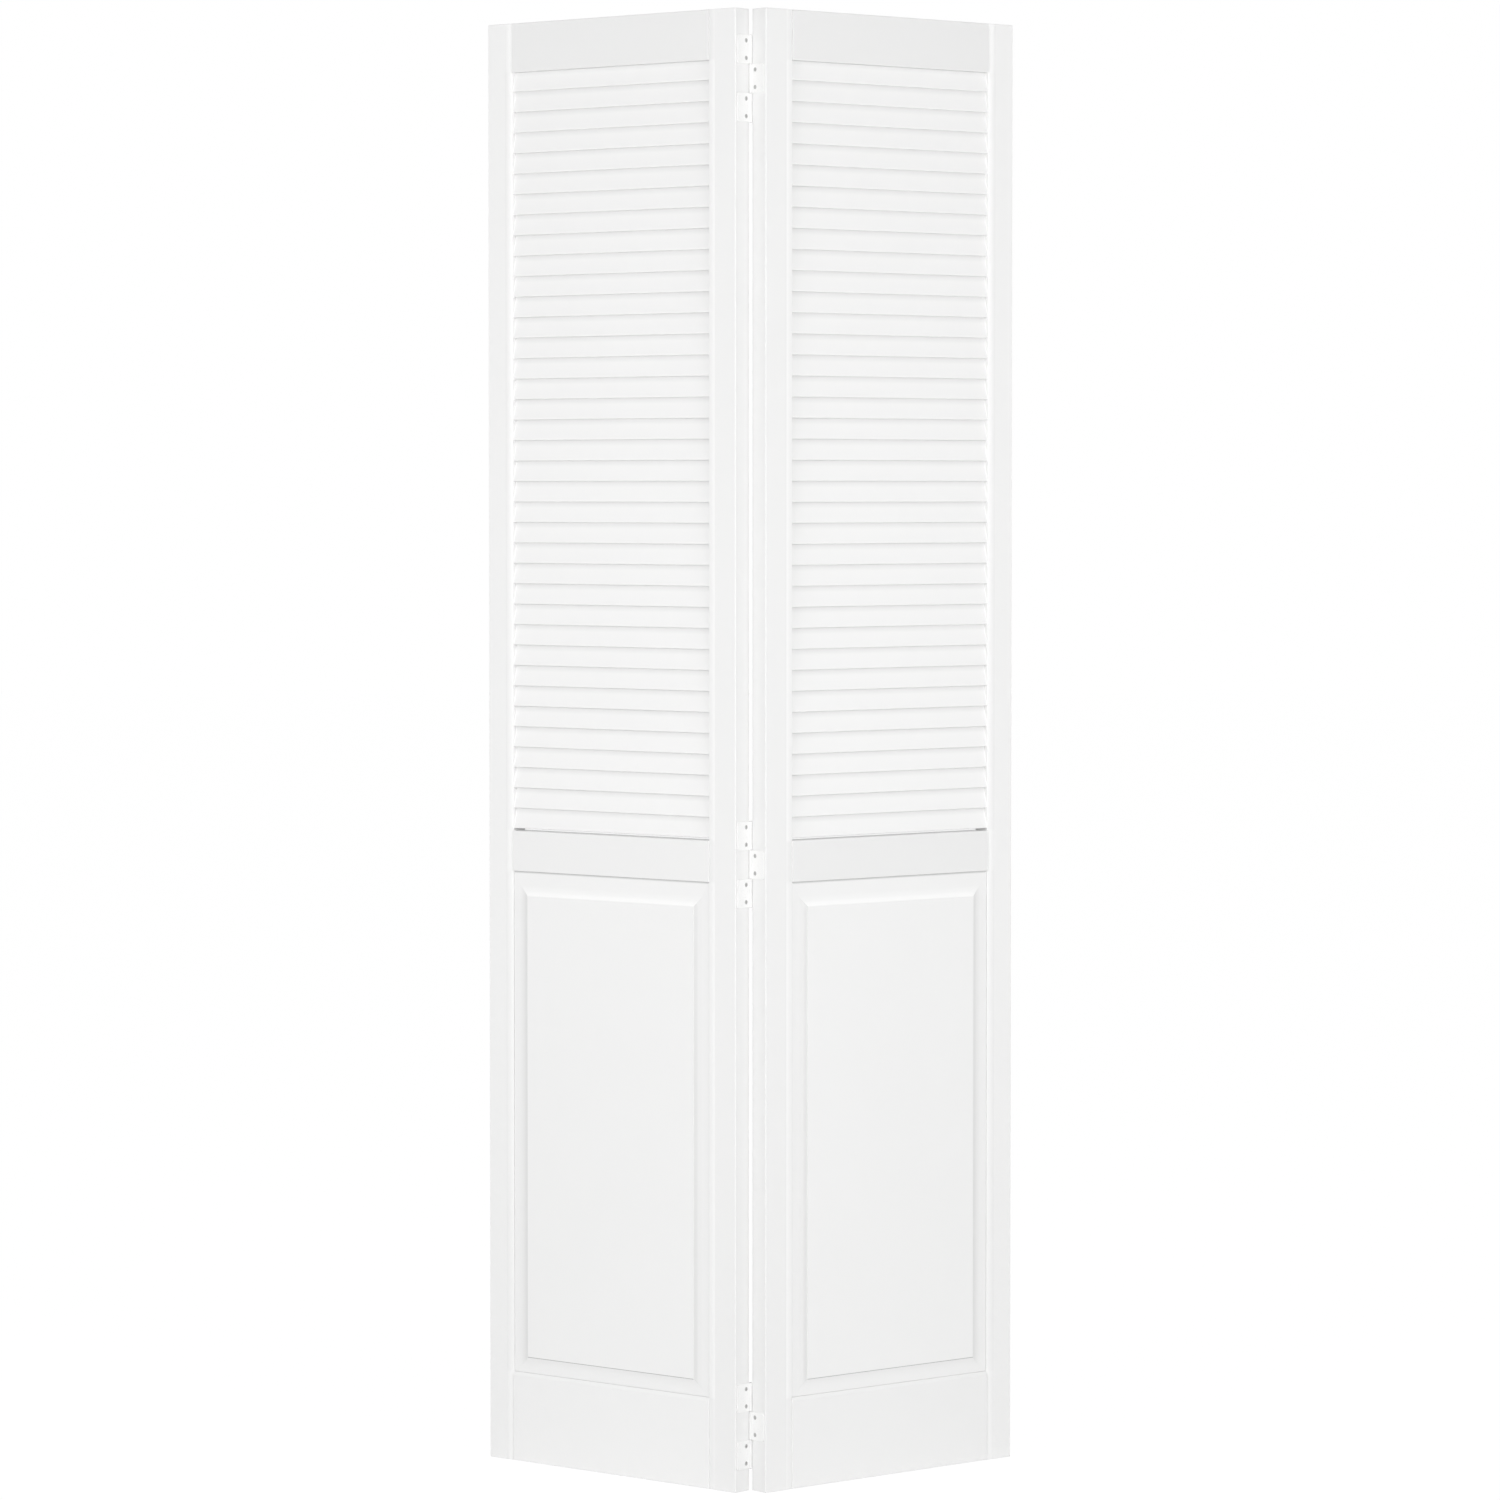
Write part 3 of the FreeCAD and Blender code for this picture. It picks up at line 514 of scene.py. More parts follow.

# %% [markdown]
# A finished shell becomes a Blender mesh with its place in its points. Faces that meet at less
# than a set angle are shaded as one surface, sharper edges stay crisp, and the mitres of the
# panel are marked one by one because they are shallower than that. The grain attribute is the
# point's place in the board, with the board's long way upward, moved by a different amount for
# each board so that no two show the same figure.

# %% put a piece into the door
SMOOTH_BELOW = 32.0              # degrees between faces that are shaded as one
BOARD_STEP = np.array([3.7, 5.3, 7.9])
finished = []


def body_that_holds(node):
    """The body of the frame whose list names the node."""
    bodies = frame["record"]["behaviour"]["bodies"]
    return next(body for body, nodes in bodies.items() if node in nodes)


def add_piece(node, side, shell, finishes, long_way=2):
    """Make the finished piece for a node. long_way is the axis that the grain follows."""
    name = "finished_" + node
    mesh = bpy.data.meshes.new(name)
    faces = shell.faces if side > 0 else [face[::-1] for face in shell.faces]
    mesh.from_pydata(to_door(shell.points, side).tolist(), [], faces)
    for finish in finishes:
        mesh.materials.append(finish)
    mesh.polygons.foreach_set("material_index", shell.finishes)
    place = np.roll(shell.points, 2 - long_way, axis=1) + BOARD_STEP * len(finished)
    grain = mesh.attributes.new("grain", "FLOAT_VECTOR", "POINT")
    grain.data.foreach_set("vector", place.astype(np.float32).reshape(-1))
    # The tone of each point is painted light and shade, which the paint multiplies into its colour.
    painted_light = mesh.attributes.new("painted_light", "FLOAT", "POINT")
    painted_light.data.foreach_set("value", shell.tones.astype(np.float32))
    mesh.polygons.foreach_set("use_smooth", [True] * len(mesh.polygons))
    mesh.set_sharp_from_angle(angle=math.radians(SMOOTH_BELOW))
    if shell.creases:
        mark_creases(mesh, shell.creases)
    mesh.validate()
    mesh.update()
    piece = bpy.data.objects.new(name, mesh)
    scene.collection.objects.link(piece)
    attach(piece, body_that_holds(node))
    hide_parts(node)
    finished.append(piece)


def mark_creases(mesh, creases):
    """Make the edges between the given pairs of points sharp."""
    wanted = {(min(pair), max(pair)) for pair in creases}
    ends = np.zeros(len(mesh.edges) * 2, int)
    mesh.edges.foreach_get("vertices", ends)
    sharp = mesh.attributes.get("sharp_edge") or mesh.attributes.new("sharp_edge", "BOOLEAN", "EDGE")
    marks = np.zeros(len(mesh.edges), bool)
    sharp.data.foreach_get("value", marks)
    pairs = np.sort(ends.reshape(-1, 2), axis=1)
    marks |= np.array([tuple(pair) in wanted for pair in pairs.tolist()])
    sharp.data.foreach_set("value", marks)


def report(title):
    """Say how many pieces there are so far, and how many faces the last one has."""
    faces = len(finished[-1].data.polygons)
    print("%s: %d pieces so far, the last with %d faces" % (title, len(finished), faces))


# %% [markdown]
# The outline of a board is drawn with straight stretches and round ones. Beside each round
# stretch a straight one gets a supporting point, which keeps its shading flat right up to the
# curve. A ring that is a little smaller than the outline gives an end its eased edge. A Bevel
# modifier could round the edges too, but it can't tell the sticking from the eased corners.

# %% outlines
SUPPORT = 0.3 * MM
SUPPORT_LIMIT = 0.25             # and never further in than this share of the stretch


def straight(start, end, step=None):
    """Points from start to end, with a supporting point near each end, and more at a step between."""
    start, end = np.array(start, float), np.array(end, float)
    length = np.linalg.norm(end - start)
    near = min(SUPPORT / length, SUPPORT_LIMIT)
    count = max(2, int(length / step) + 1) if step else 2
    share = np.concatenate([[0.0], np.linspace(near, 1 - near, count), [1.0]])[:, None]
    return start + (end - start) * share


def bent(*corners):
    """Straight stretches through the corners, each corner once."""
    stretches = [straight(start, end)[1:] for start, end in zip(corners, corners[1:])]
    return np.concatenate([[corners[0]], *stretches])


def round_stretch(centre, radius, start, end, steps):
    """Points centre + radius*(cos a, sin a), for a from start to end in degrees, ends left out."""
    angle = np.radians(np.linspace(start, end, steps + 1)[1:-1])
    return np.array(centre) + radius * np.stack([np.cos(angle), np.sin(angle)], axis=-1)


def quarter(corner, radius, start, steps):
    """The quarter circle that rounds a square corner, from a start angle in degrees.

    Its centre lies radius*sqrt(2) inside the corner, against the direction of its own middle.
    """
    middle = math.radians(start + 45)
    inside = radius * math.sqrt(2) * np.array([math.cos(middle), math.sin(middle)])
    return round_stretch(corner - inside, radius, start, start + 90, steps)


def shrink(loop, by):
    """The loop moved inward: each point goes along both its edges' normals, so both move alike."""
    forward = np.roll(loop, -1, axis=0) - loop
    forward /= np.linalg.norm(forward, axis=1, keepdims=True)
    normal = np.stack([-forward[:, 1], forward[:, 0]], axis=-1)
    before = np.roll(normal, 1, axis=0)
    both = normal + before
    return loop + by * both / (1 + np.sum(normal * before, axis=1, keepdims=True))


def set_at(loop, axis, *places):
    """A flat loop set at each place on the axis that it lacks: 0 along, 1 across, 2 up."""
    return [np.insert(loop, axis, place, axis=1) for place in places]


print("outlines: a straight stretch has", len(straight((0, 0), (1, 0))), "points")

# %% [markdown]
# A stile is the upright board at each side of a leaf. Its outer corners are eased by a small
# radius, and its inner edges carry the sticking: a long shallow curve, tangent to the face,
# that falls to the inner edge. That curve is an arc whose radius follows from its width w and
# drop d as (w*w + d*d)/(2*d). A curve drawn by hand would do, but this one takes the two
# measures that a ruler gives.

# %% outline of a stile
EDGE_EASE = 1.0 * MM
EDGE_STEPS = 5
MOULD_WIDTH = 12.7 * MM
MOULD_DROP = 2.5 * MM
MOULD_STEPS = 12
FLAT_STEP = 2.5 * MM
mould_radius = (MOULD_WIDTH**2 + MOULD_DROP**2) / (2 * MOULD_DROP)
mould_turn = math.degrees(math.asin(MOULD_WIDTH / mould_radius))


def stile_outline(width):
    """The section seen from above: x from the outer edge toward the moulded one, y across."""
    shoulder = width - MOULD_WIDTH
    return np.concatenate([
        straight((EDGE_EASE, FACE), (shoulder, FACE), FLAT_STEP),
        round_stretch((shoulder, FACE + mould_radius), mould_radius, -90, -90 + mould_turn, MOULD_STEPS),
        straight((width, FACE + MOULD_DROP), (width, BACK - MOULD_DROP), FLAT_STEP),
        round_stretch((shoulder, BACK - mould_radius), mould_radius, 90 - mould_turn, 90, MOULD_STEPS),
        straight((shoulder, BACK), (EDGE_EASE, BACK), FLAT_STEP),
        quarter((0, BACK), EDGE_EASE, 90, EDGE_STEPS),
        straight((0, BACK - EDGE_EASE), (0, FACE + EDGE_EASE), FLAT_STEP),
        quarter((0, FACE), EDGE_EASE, 180, EDGE_STEPS),
    ])


print("sticking: radius %.1f mm, %.1f degrees" % (mould_radius / MM, mould_turn))

# %% [markdown]
# Light and shade are painted into the stiles. Beside the fold the sticking gets a painted
# highlight, a little whiter than the face, and on the outer stiles painted shade, a little
# greyer, by a share that changes up the door: bottom rail, panel, middle rail, louvre and top
# rail. The faces beside the fold get a touch of painted shade. So do the edges that meet, most
# of all toward the pins, as a painted shadow beside the seam. An image could hold all this, but
# a number at each point follows the shape by itself.

# %% painted light and shade on a stile
# Painted shade on the meeting edge and on the hinge stiles' faces; painted highlight on the hinge stiles' sticking
# and painted shade on the outer ones'.
MEETING_EDGE_SHADE = (0.88, 0.95)     # at the back, and from a short run before it
MEETING_EDGE_RUN = 5.0 * MM
STICKING_RISE = 0.12 * MOULD_WIDTH   # the run in which the sticking's tone sets in
ZONE_RUN = 2.0 * MM                  # from a rail's end to where the zone's own share holds
ZONE_STICKING_LIGHT = np.repeat([0.05, 0.09, 0.05, 0.09, 0.05], 2)
STICKING_LIGHT_BY_KIND = {"hinge": 1.25, "outer": -0.6}
FACE_SHADE_BY_KIND = {"hinge": 0.98, "outer": 1.0}
rail_boxes = {rail: leaf_box("right_%s_rail" % rail, 1) for rail in ("bottom", "middle", "top")}
rail_ends = [rail_boxes["bottom"][1][2], rail_boxes["middle"][0][2],
             rail_boxes["middle"][1][2], rail_boxes["top"][0][2]]
zone_changes = [end + way * ZONE_RUN for end in rail_ends for way in (-1, 1)]
zone_edges = [0.0, *zone_changes, cad_high[2]]


def stile_light_and_shade(loop, width, heights, kind):
    """A tone for each height and point: the face's painted shade, times 1 + a share over the sticking, painted
    highlight where positive and painted shade where negative.
    """
    sticking_mask = np.clip((loop[:, 0] - (width - MOULD_WIDTH)) / STICKING_RISE, 0, 1)
    share = STICKING_LIGHT_BY_KIND[kind] * np.interp(heights, zone_edges, ZONE_STICKING_LIGHT)
    edge = np.interp(BACK - loop[:, 1], [0.0, MEETING_EDGE_RUN], MEETING_EDGE_SHADE)
    face = np.where((kind == "hinge") & (loop[:, 0] < SUPPORT), edge, FACE_SHADE_BY_KIND[kind])
    return face * (1 + share[:, None] * sticking_mask)


print("zones change at", ", ".join("%.0f" % (end / MM) for end in rail_ends), "mm")

# %% [markdown]
# The outer stiles have bores in their ends for the pivots and the guide. A Boolean could cut
# them, but it leaves thin triangles round the hole. Here the end face is a ring that runs from
# the outline to the circle, and the same ring of points goes on down the wall to the cone that
# the drill's point left.

# %% stiles
END_EASE = 0.5 * MM
BORE_RADIUS = 4.75 * MM
BORE_DEPTH = 38.0 * MM
BORE_LIP = 0.4 * MM
DRILL_POINT = 118.0              # degrees across the cone
CONE_TIP = 0.03                  # the cone's last ring, as a share of the bore's radius


def bore_rings(loop, middle, end, inward):
    """Rings from the cone's tip out to the end face: the loop's directions laid on circles."""
    away = loop - middle
    direction = away / np.linalg.norm(away, axis=1, keepdims=True)
    cone = BORE_RADIUS / math.tan(math.radians(DRILL_POINT / 2))
    levels = ((CONE_TIP * BORE_RADIUS, BORE_DEPTH + (1 - CONE_TIP) * cone), (BORE_RADIUS, BORE_DEPTH),
              (BORE_RADIUS, BORE_LIP), (BORE_RADIUS + BORE_LIP, 0.0))
    return [set_at(middle + direction * radius, 2, end + inward * depth)[0] for radius, depth in levels]


def make_stile(leaf, side, kind, bored_head, bored_foot):
    """Rings from foot to head: bore, eased end, the outline at each zone, eased end, bore."""
    node = "%s_%s_stile" % (leaf, kind)
    low, high = leaf_box(node, side)
    width = high[0] - low[0]
    loop = stile_outline(width)
    small = shrink(loop, END_EASE)
    middle = np.array([width / 2, MIDDLE])
    board = set_at(small, 2, low[2])
    board += set_at(loop, 2, low[2] + END_EASE, *zone_changes, high[2] - END_EASE)
    board += set_at(small, 2, high[2])
    foot = bore_rings(loop, middle, low[2], 1) if bored_foot else []
    head = bore_rings(loop, middle, high[2], -1)[::-1] if bored_head else []
    rings = np.array(foot + board + head)
    tones = stile_light_and_shade(loop, width, rings[:, 0, 2], kind)
    if kind == "outer":
        rings[..., 0] = high[0] - rings[..., 0]
        rings, tones = rings[:, ::-1], tones[:, ::-1]
    else:
        rings[..., 0] += low[0]
    shell = loft(rings, tones)
    bare = np.zeros(len(rings) - 1, int)
    if bored_foot:
        bare[:len(foot) - 1] = BARE
    if bored_head:
        bare[1 - len(head):] = BARE
    shell.finishes = [*np.repeat(bare, len(loop)).tolist(), BARE * bored_foot, BARE * bored_head]
    add_piece(node, side, shell, [white_paint, bare_pine])


for leaf, side in SIDES.items():
    make_stile(leaf, side, "hinge", False, False)
    make_stile(leaf, side, "outer", True, leaf == "left")
report("stiles")

# %% [markdown]
# The louvre's sizes come before the rails, because the top rail makes room for the uppermost
# slat. The pitch is the height between the rails, with the gaps at head and foot, over the
# number of slats. It could be typed in, but taken from the frame it fits by itself. What the
# top slat needs beyond its pitch is the height of a rabbet behind the rail.

# %% sizes of the louvre
SLAT_THICKNESS = 4.0 * MM
SLAT_TILT = math.radians(78)
SLAT_COUNT = 37
SLAT_HEAD_GAP = 0.4 * MM         # round the top slat, in the top rail's rabbet
SLAT_FOOT_GAP = 1.7 * MM         # between the lowest slat and the middle rail
louvre_foot, louvre_head = rail_ends[2:]
slat_pitch = (louvre_head - louvre_foot + SLAT_HEAD_GAP - SLAT_FOOT_GAP) / SLAT_COUNT
slats_low, slats_high = leaf_box("right_louvre_slats", 1)
slat_rise = slats_high[2] - slats_low[2] - (SLAT_COUNT - 1) * slat_pitch
rabbet_height = max(slat_rise - slat_pitch + 2 * SLAT_HEAD_GAP, SLAT_HEAD_GAP)
rabbet_width = SLAT_THICKNESS * math.sin(SLAT_TILT) + rabbet_height / math.tan(SLAT_TILT) + SLAT_HEAD_GAP
print("slats: pitch %.2f mm, rise %.2f mm" % (slat_pitch / MM, slat_rise / MM))

# %% [markdown]
# Rails are the level boards between the stiles. Their faces lie a little below the faces of the
# stiles, their long edges are eased, and where a rail meets the panel it has a groove for the
# panel's tongue. The bottom rail has the stiles' sticking there too. On the bench a cutter makes
# these one after another, but here all of them are in the outline.

# %% outlines of the rails
RAIL_EASE = 1.0 * MM
RAIL_STEPS = 4
GROOVE_DEPTH = 11.0 * MM
GROOVE_HALF = 4.9 * MM
RAIL_FACE, RAIL_BACK = (corner[1] for corner in rail_boxes["top"])


def eased(across, height, start):
    """The rounding of a rail's corner, from a start angle in degrees."""
    return quarter((across, height), RAIL_EASE, start, RAIL_STEPS)


def rail_mould(edge, face, out):
    """The sticking of the bottom rail: points from its moulded edge to its face, on the stiles' arc.

    out is -1 on the room side and 1 on the back. The arc has fallen by setback, where it meets
    the rail's face, at a distance of sqrt(2*radius*setback - setback^2) from the arc's start.
    """
    stile_face = FACE if out < 0 else BACK
    setback = abs(face - stile_face)
    start = math.sqrt(2 * mould_radius * setback - setback**2)
    reach = np.linspace(MOULD_WIDTH, start, MOULD_STEPS)
    drop = mould_radius - np.sqrt(mould_radius**2 - reach**2)
    return np.stack([stile_face - out * drop, edge - (MOULD_WIDTH - reach)], axis=-1)


def groove(edge, bed):
    """The four corners of the panel's groove, from the room side to the back."""
    near, far = MIDDLE - GROOVE_HALF, MIDDLE + GROOVE_HALF
    return [(near, edge), (near, bed), (far, bed), (far, edge)]


def head_and_face(low, high):
    """The outline from the back's upper corner, over the head and down the face, to the foot."""
    return [
        eased(RAIL_BACK, high, 0),
        straight((RAIL_BACK - RAIL_EASE, high), (RAIL_FACE + RAIL_EASE, high)),
        eased(RAIL_FACE, high, 90),
        straight((RAIL_FACE, high - RAIL_EASE), (RAIL_FACE, low + RAIL_EASE)),
        eased(RAIL_FACE, low, 180),
    ]


def top_rail_outline(low, high):
    """The section from the face's foot, anticlockwise seen from the leaf's outer edge."""
    rabbet = slats_high[1] - rabbet_width
    ledge = low + rabbet_height
    return np.concatenate([
        bent((RAIL_FACE + RAIL_EASE, low), (rabbet, low), (rabbet, ledge), (RAIL_BACK, ledge),
             (RAIL_BACK, high - RAIL_EASE)),
        *head_and_face(low, high),
    ])


def middle_rail_outline(low, high):
    """The section from the face's foot, with the groove underneath."""
    return np.concatenate([
        bent((RAIL_FACE + RAIL_EASE, low), *groove(low, low + GROOVE_DEPTH),
             (RAIL_BACK - RAIL_EASE, low)),
        eased(RAIL_BACK, low, 270),
        straight((RAIL_BACK, low + RAIL_EASE), (RAIL_BACK, high - RAIL_EASE)),
        *head_and_face(low, high),
    ])


def bottom_rail_outline(low, high):
    """The section from the face's foot, with the groove between two mouldings on top."""
    front_mould = rail_mould(high, RAIL_FACE, -1)
    back_mould = rail_mould(high, RAIL_BACK, 1)
    return np.concatenate([
        straight((RAIL_FACE + RAIL_EASE, low), (RAIL_BACK - RAIL_EASE, low)),
        eased(RAIL_BACK, low, 270),
        straight((RAIL_BACK, low + RAIL_EASE), back_mould[-1])[:-1],
        back_mould[::-1],
        bent(back_mould[0], *groove(high, high - GROOVE_DEPTH)[::-1], front_mould[0])[1:-1],
        front_mould,
        straight(front_mould[-1], (RAIL_FACE, low + RAIL_EASE))[1:],
        eased(RAIL_FACE, low, 180),
    ])


RAIL_OUTLINES = {
    "top_rail": top_rail_outline,
    "middle_rail": middle_rail_outline,
    "bottom_rail": bottom_rail_outline,
}
print("rails:", ", ".join(RAIL_OUTLINES))

# %% [markdown]
# A rail is its section carried from stile to stile, with the grain running level. A fine vee is
# left at both ends, where a painted joint shows, by a slightly smaller outline there. Each rail
# carries painted shade, darkest on the top rails and least on the bottom rails, and a little
# different from leaf to leaf.

# %% rails
JOINT_VEE = 0.35 * MM
# Painted shade on each rail, darker toward the door's head.
RAIL_SHADE = {
    ("left", "top_rail"): 0.94, ("right", "top_rail"): 0.94,
    ("left", "middle_rail"): 0.975, ("right", "middle_rail"): 0.95,
    ("left", "bottom_rail"): 1.0, ("right", "bottom_rail"): 0.985,
}


def make_rail(leaf, side, rail):
    """The section carried along the leaf, a little smaller at both ends."""
    node = "%s_%s" % (leaf, rail)
    low, high = leaf_box(node, side)
    loop = RAIL_OUTLINES[rail](low[2], high[2])
    near, far = set_at(shrink(loop, JOINT_VEE), 0, low[0], high[0])
    board = set_at(loop, 0, low[0] + JOINT_VEE, high[0] - JOINT_VEE)
    shell = loft(np.array([near, *board, far]), RAIL_SHADE[leaf, rail])
    add_piece(node, side, shell, [white_paint], long_way=0)


for leaf, side in SIDES.items():
    for rail in RAIL_OUTLINES:
        make_rail(leaf, side, rail)
report("rails")

# %% [markdown]
# The louvre is thirty-seven thin slats per leaf, each tilted steeply with its room-side
# edge low, so that nobody sees through but air passes. A slat is a flat bar with rounded
# corners. Its section is worked out once, turned by the tilt, and set at every pitch in one
# array. An Array modifier would repeat it as well, but the piece has to hold all its points.
# The slat carries painted shade, a little greyer up where the next slat comes near, and a
# painted highlight, a little whiter, on its open face. The ends run on into the stiles, where they are housed.

# %% louvre slats
SLAT_ROUND = 1.2 * MM
SLAT_ROUND_STEPS = 4
SLAT_STEP = 3.0 * MM
# Painted highlight on a slat's open face, and painted shade at the foot of the next slat.
SLAT_LIGHT_AND_SHADE = (1.03, 0.91)        # on its open face, and at the foot of the next slat
SLAT_SHADE_RUN = 7.0 * MM
slat_depth = slats_high[1] - slats_low[1]
slat_width = (slat_depth - SLAT_THICKNESS * math.sin(SLAT_TILT)) / math.cos(SLAT_TILT)


def slat_outline():
    """A bar with quarter-round corners, turned by the tilt about its own middle."""
    wide, thick, r = slat_width / 2, SLAT_THICKNESS / 2, SLAT_ROUND
    bar = np.concatenate([
        straight((-wide + r, -thick), (wide - r, -thick)),
        quarter((wide, -thick), r, -90, SLAT_ROUND_STEPS),
        straight((wide, -thick + r), (wide, thick - r)),
        quarter((wide, thick), r, 0, SLAT_ROUND_STEPS),
        straight((wide - r, thick), (-wide + r, thick), SLAT_STEP),
        quarter((-wide, thick), r, 90, SLAT_ROUND_STEPS),
        straight((-wide, thick - r), (-wide, -thick + r)),
        quarter((-wide, -thick), r, 180, SLAT_ROUND_STEPS),
    ])
    turn = np.array([[math.cos(SLAT_TILT), math.sin(SLAT_TILT)],
                     [-math.sin(SLAT_TILT), math.cos(SLAT_TILT)]])
    return bar @ turn


def make_slats(leaf, side):
    """One slat carried along the leaf, and its copies raised by number*pitch."""
    node = leaf + "_louvre_slats"
    low, high = leaf_box(node, side)
    loop = slat_outline() + np.array([(low[1] + high[1]) / 2, low[2] + slat_rise / 2])
    tones = np.interp(loop[:, 1] - low[2], [slat_pitch - SLAT_SHADE_RUN, slat_pitch], SLAT_LIGHT_AND_SHADE)
    bar = loft(np.array(set_at(loop, 0, low[0], high[0])), tones)
    lifts = np.arange(SLAT_COUNT) * slat_pitch
    shells = [Shell(bar.points + [0, 0, lift], bar.faces, bar.tones) for lift in lifts]
    add_piece(node, side, merge(shells), [white_paint], long_way=0)


for leaf, side in SIDES.items():
    make_slats(leaf, side)
report("slats")

# %% [markdown]
# The panel is one solid board, raised on both faces. From the outside in, it has a tongue that
# floats in the grooves, a flat margin, a cove, a small square step and the field. Each of these
# is a rectangle at its own depth, so the whole face is a row of rectangular rings. Insetting a
# face again and again gives such rings too, but not with margins that differ by side. A pair of
# rings close together makes each edge slightly round, as paint does.

# %% steps of a panel
TONGUE_HALF = 4.75 * MM
PANEL_EDGE_GAP = 0.2 * MM
MARGIN_SETBACK = 3.2 * MM
MARGINS = np.array([12.5, 8.0, 19.6]) * MM    # at the sides, the foot and the head
COVE_WIDTH = 14.0 * MM
COVE_STEPS = 8
QUIRK_HEIGHT = 0.6 * MM          # the small step between cove and field
QUIRK_RUN = 1.2 * MM             # and how far its tone reaches into the field
SOFT = 0.2 * MM                  # how far an edge is rounded
MITRE = 0.15 * MM                # from a corner to the nearest points of its two sides
EDGE_RUN = 3.0 * MM              # how far the edge's tone reaches into the margin

# Painted light and shade at the foot, outer side, head and hinge side: a painted shadow at the
# head's edge, under the middle rail; a painted highlight on the head's cove and quirk; painted
# shade on the other coves and the sides' quirks; and a deep painted shadow on the foot's quirk.
# Then the share of the cove's tone across it.
EDGE_SHADOW = np.repeat([1.0, 1.0, 0.6, 1.0], 2)
COVE_LIGHT_AND_SHADE = np.repeat([0.98, 0.91, 1.1, 0.8], 2)
COVE_REACHES, COVE_SHARES = [0.0, 0.5, 0.8, 1.0], [0.05, 0.4, 1.0, 1.0]
QUIRK_LIGHT_AND_SHADE = np.repeat([0.42, 0.92, 1.06, 0.88], 2)
PLAIN = np.ones(8)
margin_half = THICKNESS / 2 - MARGIN_SETBACK


def panel_steps(field_half):
    """(insets, height from the middle, tones) of each ring, from the tongue's root inward.

    The cove is a round hollow that starts flat: with rise h over width w its radius is
    (w*w + h*h)/(2*h), and at a distance x from its foot it is radius - sqrt(radius^2 - x^2) high.
    """
    cove_head = MARGINS + COVE_WIDTH
    rise = field_half - QUIRK_HEIGHT - margin_half
    radius = (COVE_WIDTH**2 + rise**2) / (2 * rise)
    reach = np.linspace(0, COVE_WIDTH, COVE_STEPS + 1)
    heights = margin_half + radius - np.sqrt(radius**2 - reach**2)
    shares = np.interp(reach / COVE_WIDTH, COVE_REACHES, COVE_SHARES)
    return [
        (PANEL_EDGE_GAP, TONGUE_HALF, EDGE_SHADOW),
        (PANEL_EDGE_GAP, margin_half - SOFT, EDGE_SHADOW),
        (PANEL_EDGE_GAP + SOFT, margin_half, EDGE_SHADOW),
        (PANEL_EDGE_GAP + EDGE_RUN, margin_half, PLAIN),
        *zip(MARGINS + reach[:, None], heights, PLAIN + shares[:, None] * (COVE_LIGHT_AND_SHADE - 1)),
        (cove_head, field_half - SOFT, QUIRK_LIGHT_AND_SHADE),
        (cove_head + SOFT / 2, field_half - SOFT / 3, QUIRK_LIGHT_AND_SHADE),
        (cove_head + 1.5 * SOFT, field_half, QUIRK_LIGHT_AND_SHADE),
        (cove_head + QUIRK_RUN, field_half, PLAIN),
    ]


print("panel: %.1f mm thick at the margin" % (2 * margin_half / MM))

# %% [markdown]
# The rings run from the field on the back out to the tongue's edge and in again to the field on
# the room side, so the panel is closed. Half a panel with a mirror modifier would have to be
# joined at the tongue. The coves of the four sides meet in mitres, which stay crisp: each side
# has its own two points on a ring, a hair away from the corner, and its own painted light and
# shade.

# %% raised panels
def rectangle_ring(low, high, insets, across):
    """Two points on each side, anticlockwise from the foot, inset at the sides, foot and head."""
    at_side, at_foot, at_head = np.broadcast_to(insets, 3)
    x0, x1 = low[0] + at_side, high[0] - at_side
    z0, z1 = low[2] + at_foot, high[2] - at_head
    loop = [(x0 + MITRE, z0), (x1 - MITRE, z0), (x1, z0 + MITRE), (x1, z1 - MITRE),
            (x1 - MITRE, z1), (x0 + MITRE, z1), (x0, z1 - MITRE), (x0, z0 + MITRE)]
    return set_at(loop, 1, across)[0]


def make_panel(leaf, side):
    """Rings from the back's field out to the tongue's edge, and in again to the room side's field."""
    node = leaf + "_raised_panel"
    low, high = leaf_box(node, side)
    foot_low, foot_high = leaf_box(leaf + "_bottom_rail", side)
    head_low = leaf_box(leaf + "_middle_rail", side)[0]
    open_low = np.array([foot_low[0], 0, foot_high[2]])
    open_high = np.array([foot_high[0], 0, head_low[2]])
    steps = panel_steps((high[1] - low[1]) / 2)
    rings, tones = [], []
    for out in (1, -1):
        half = [rectangle_ring(low, high, 0, MIDDLE + out * TONGUE_HALF)]
        half += [rectangle_ring(open_low, open_high, insets, MIDDLE + out * height)
                 for insets, height, _ in steps]
        rings += half[::-out]
        tones += [EDGE_SHADOW, *(side_tones for *_, side_tones in steps)][::-out]
    shell = loft(np.array(rings), np.array(tones))
    index = np.arange(len(shell.points)).reshape(-1, 8)
    shell.creases = list(zip(index[:-1].reshape(-1).tolist(), index[1:].reshape(-1).tolist()))
    add_piece(node, side, shell, [white_paint])


for leaf, side in SIDES.items():
    make_panel(leaf, side)
report("panels")

# %% [markdown]
# The hinges' parts are small bodies with round holes or recesses in flat faces. A Boolean could
# cut those, but its result depends on tiny overlaps. Here a flat face is filled with triangles
# between its outline and its holes, the walls are strips between two loops with the same number
# of points, and then the points that lie on each other are merged. A body that is turned on a
# lathe is a profile of radii and heights, swept round the pins' axis.

# %% flat faces with holes, and turned bodies
MERGE_BELOW = 1e-7               # metres


def even_turn(count):
    """count angles of a full turn, evenly spread, in radians."""
    return np.arange(count) * 2 * np.pi / count


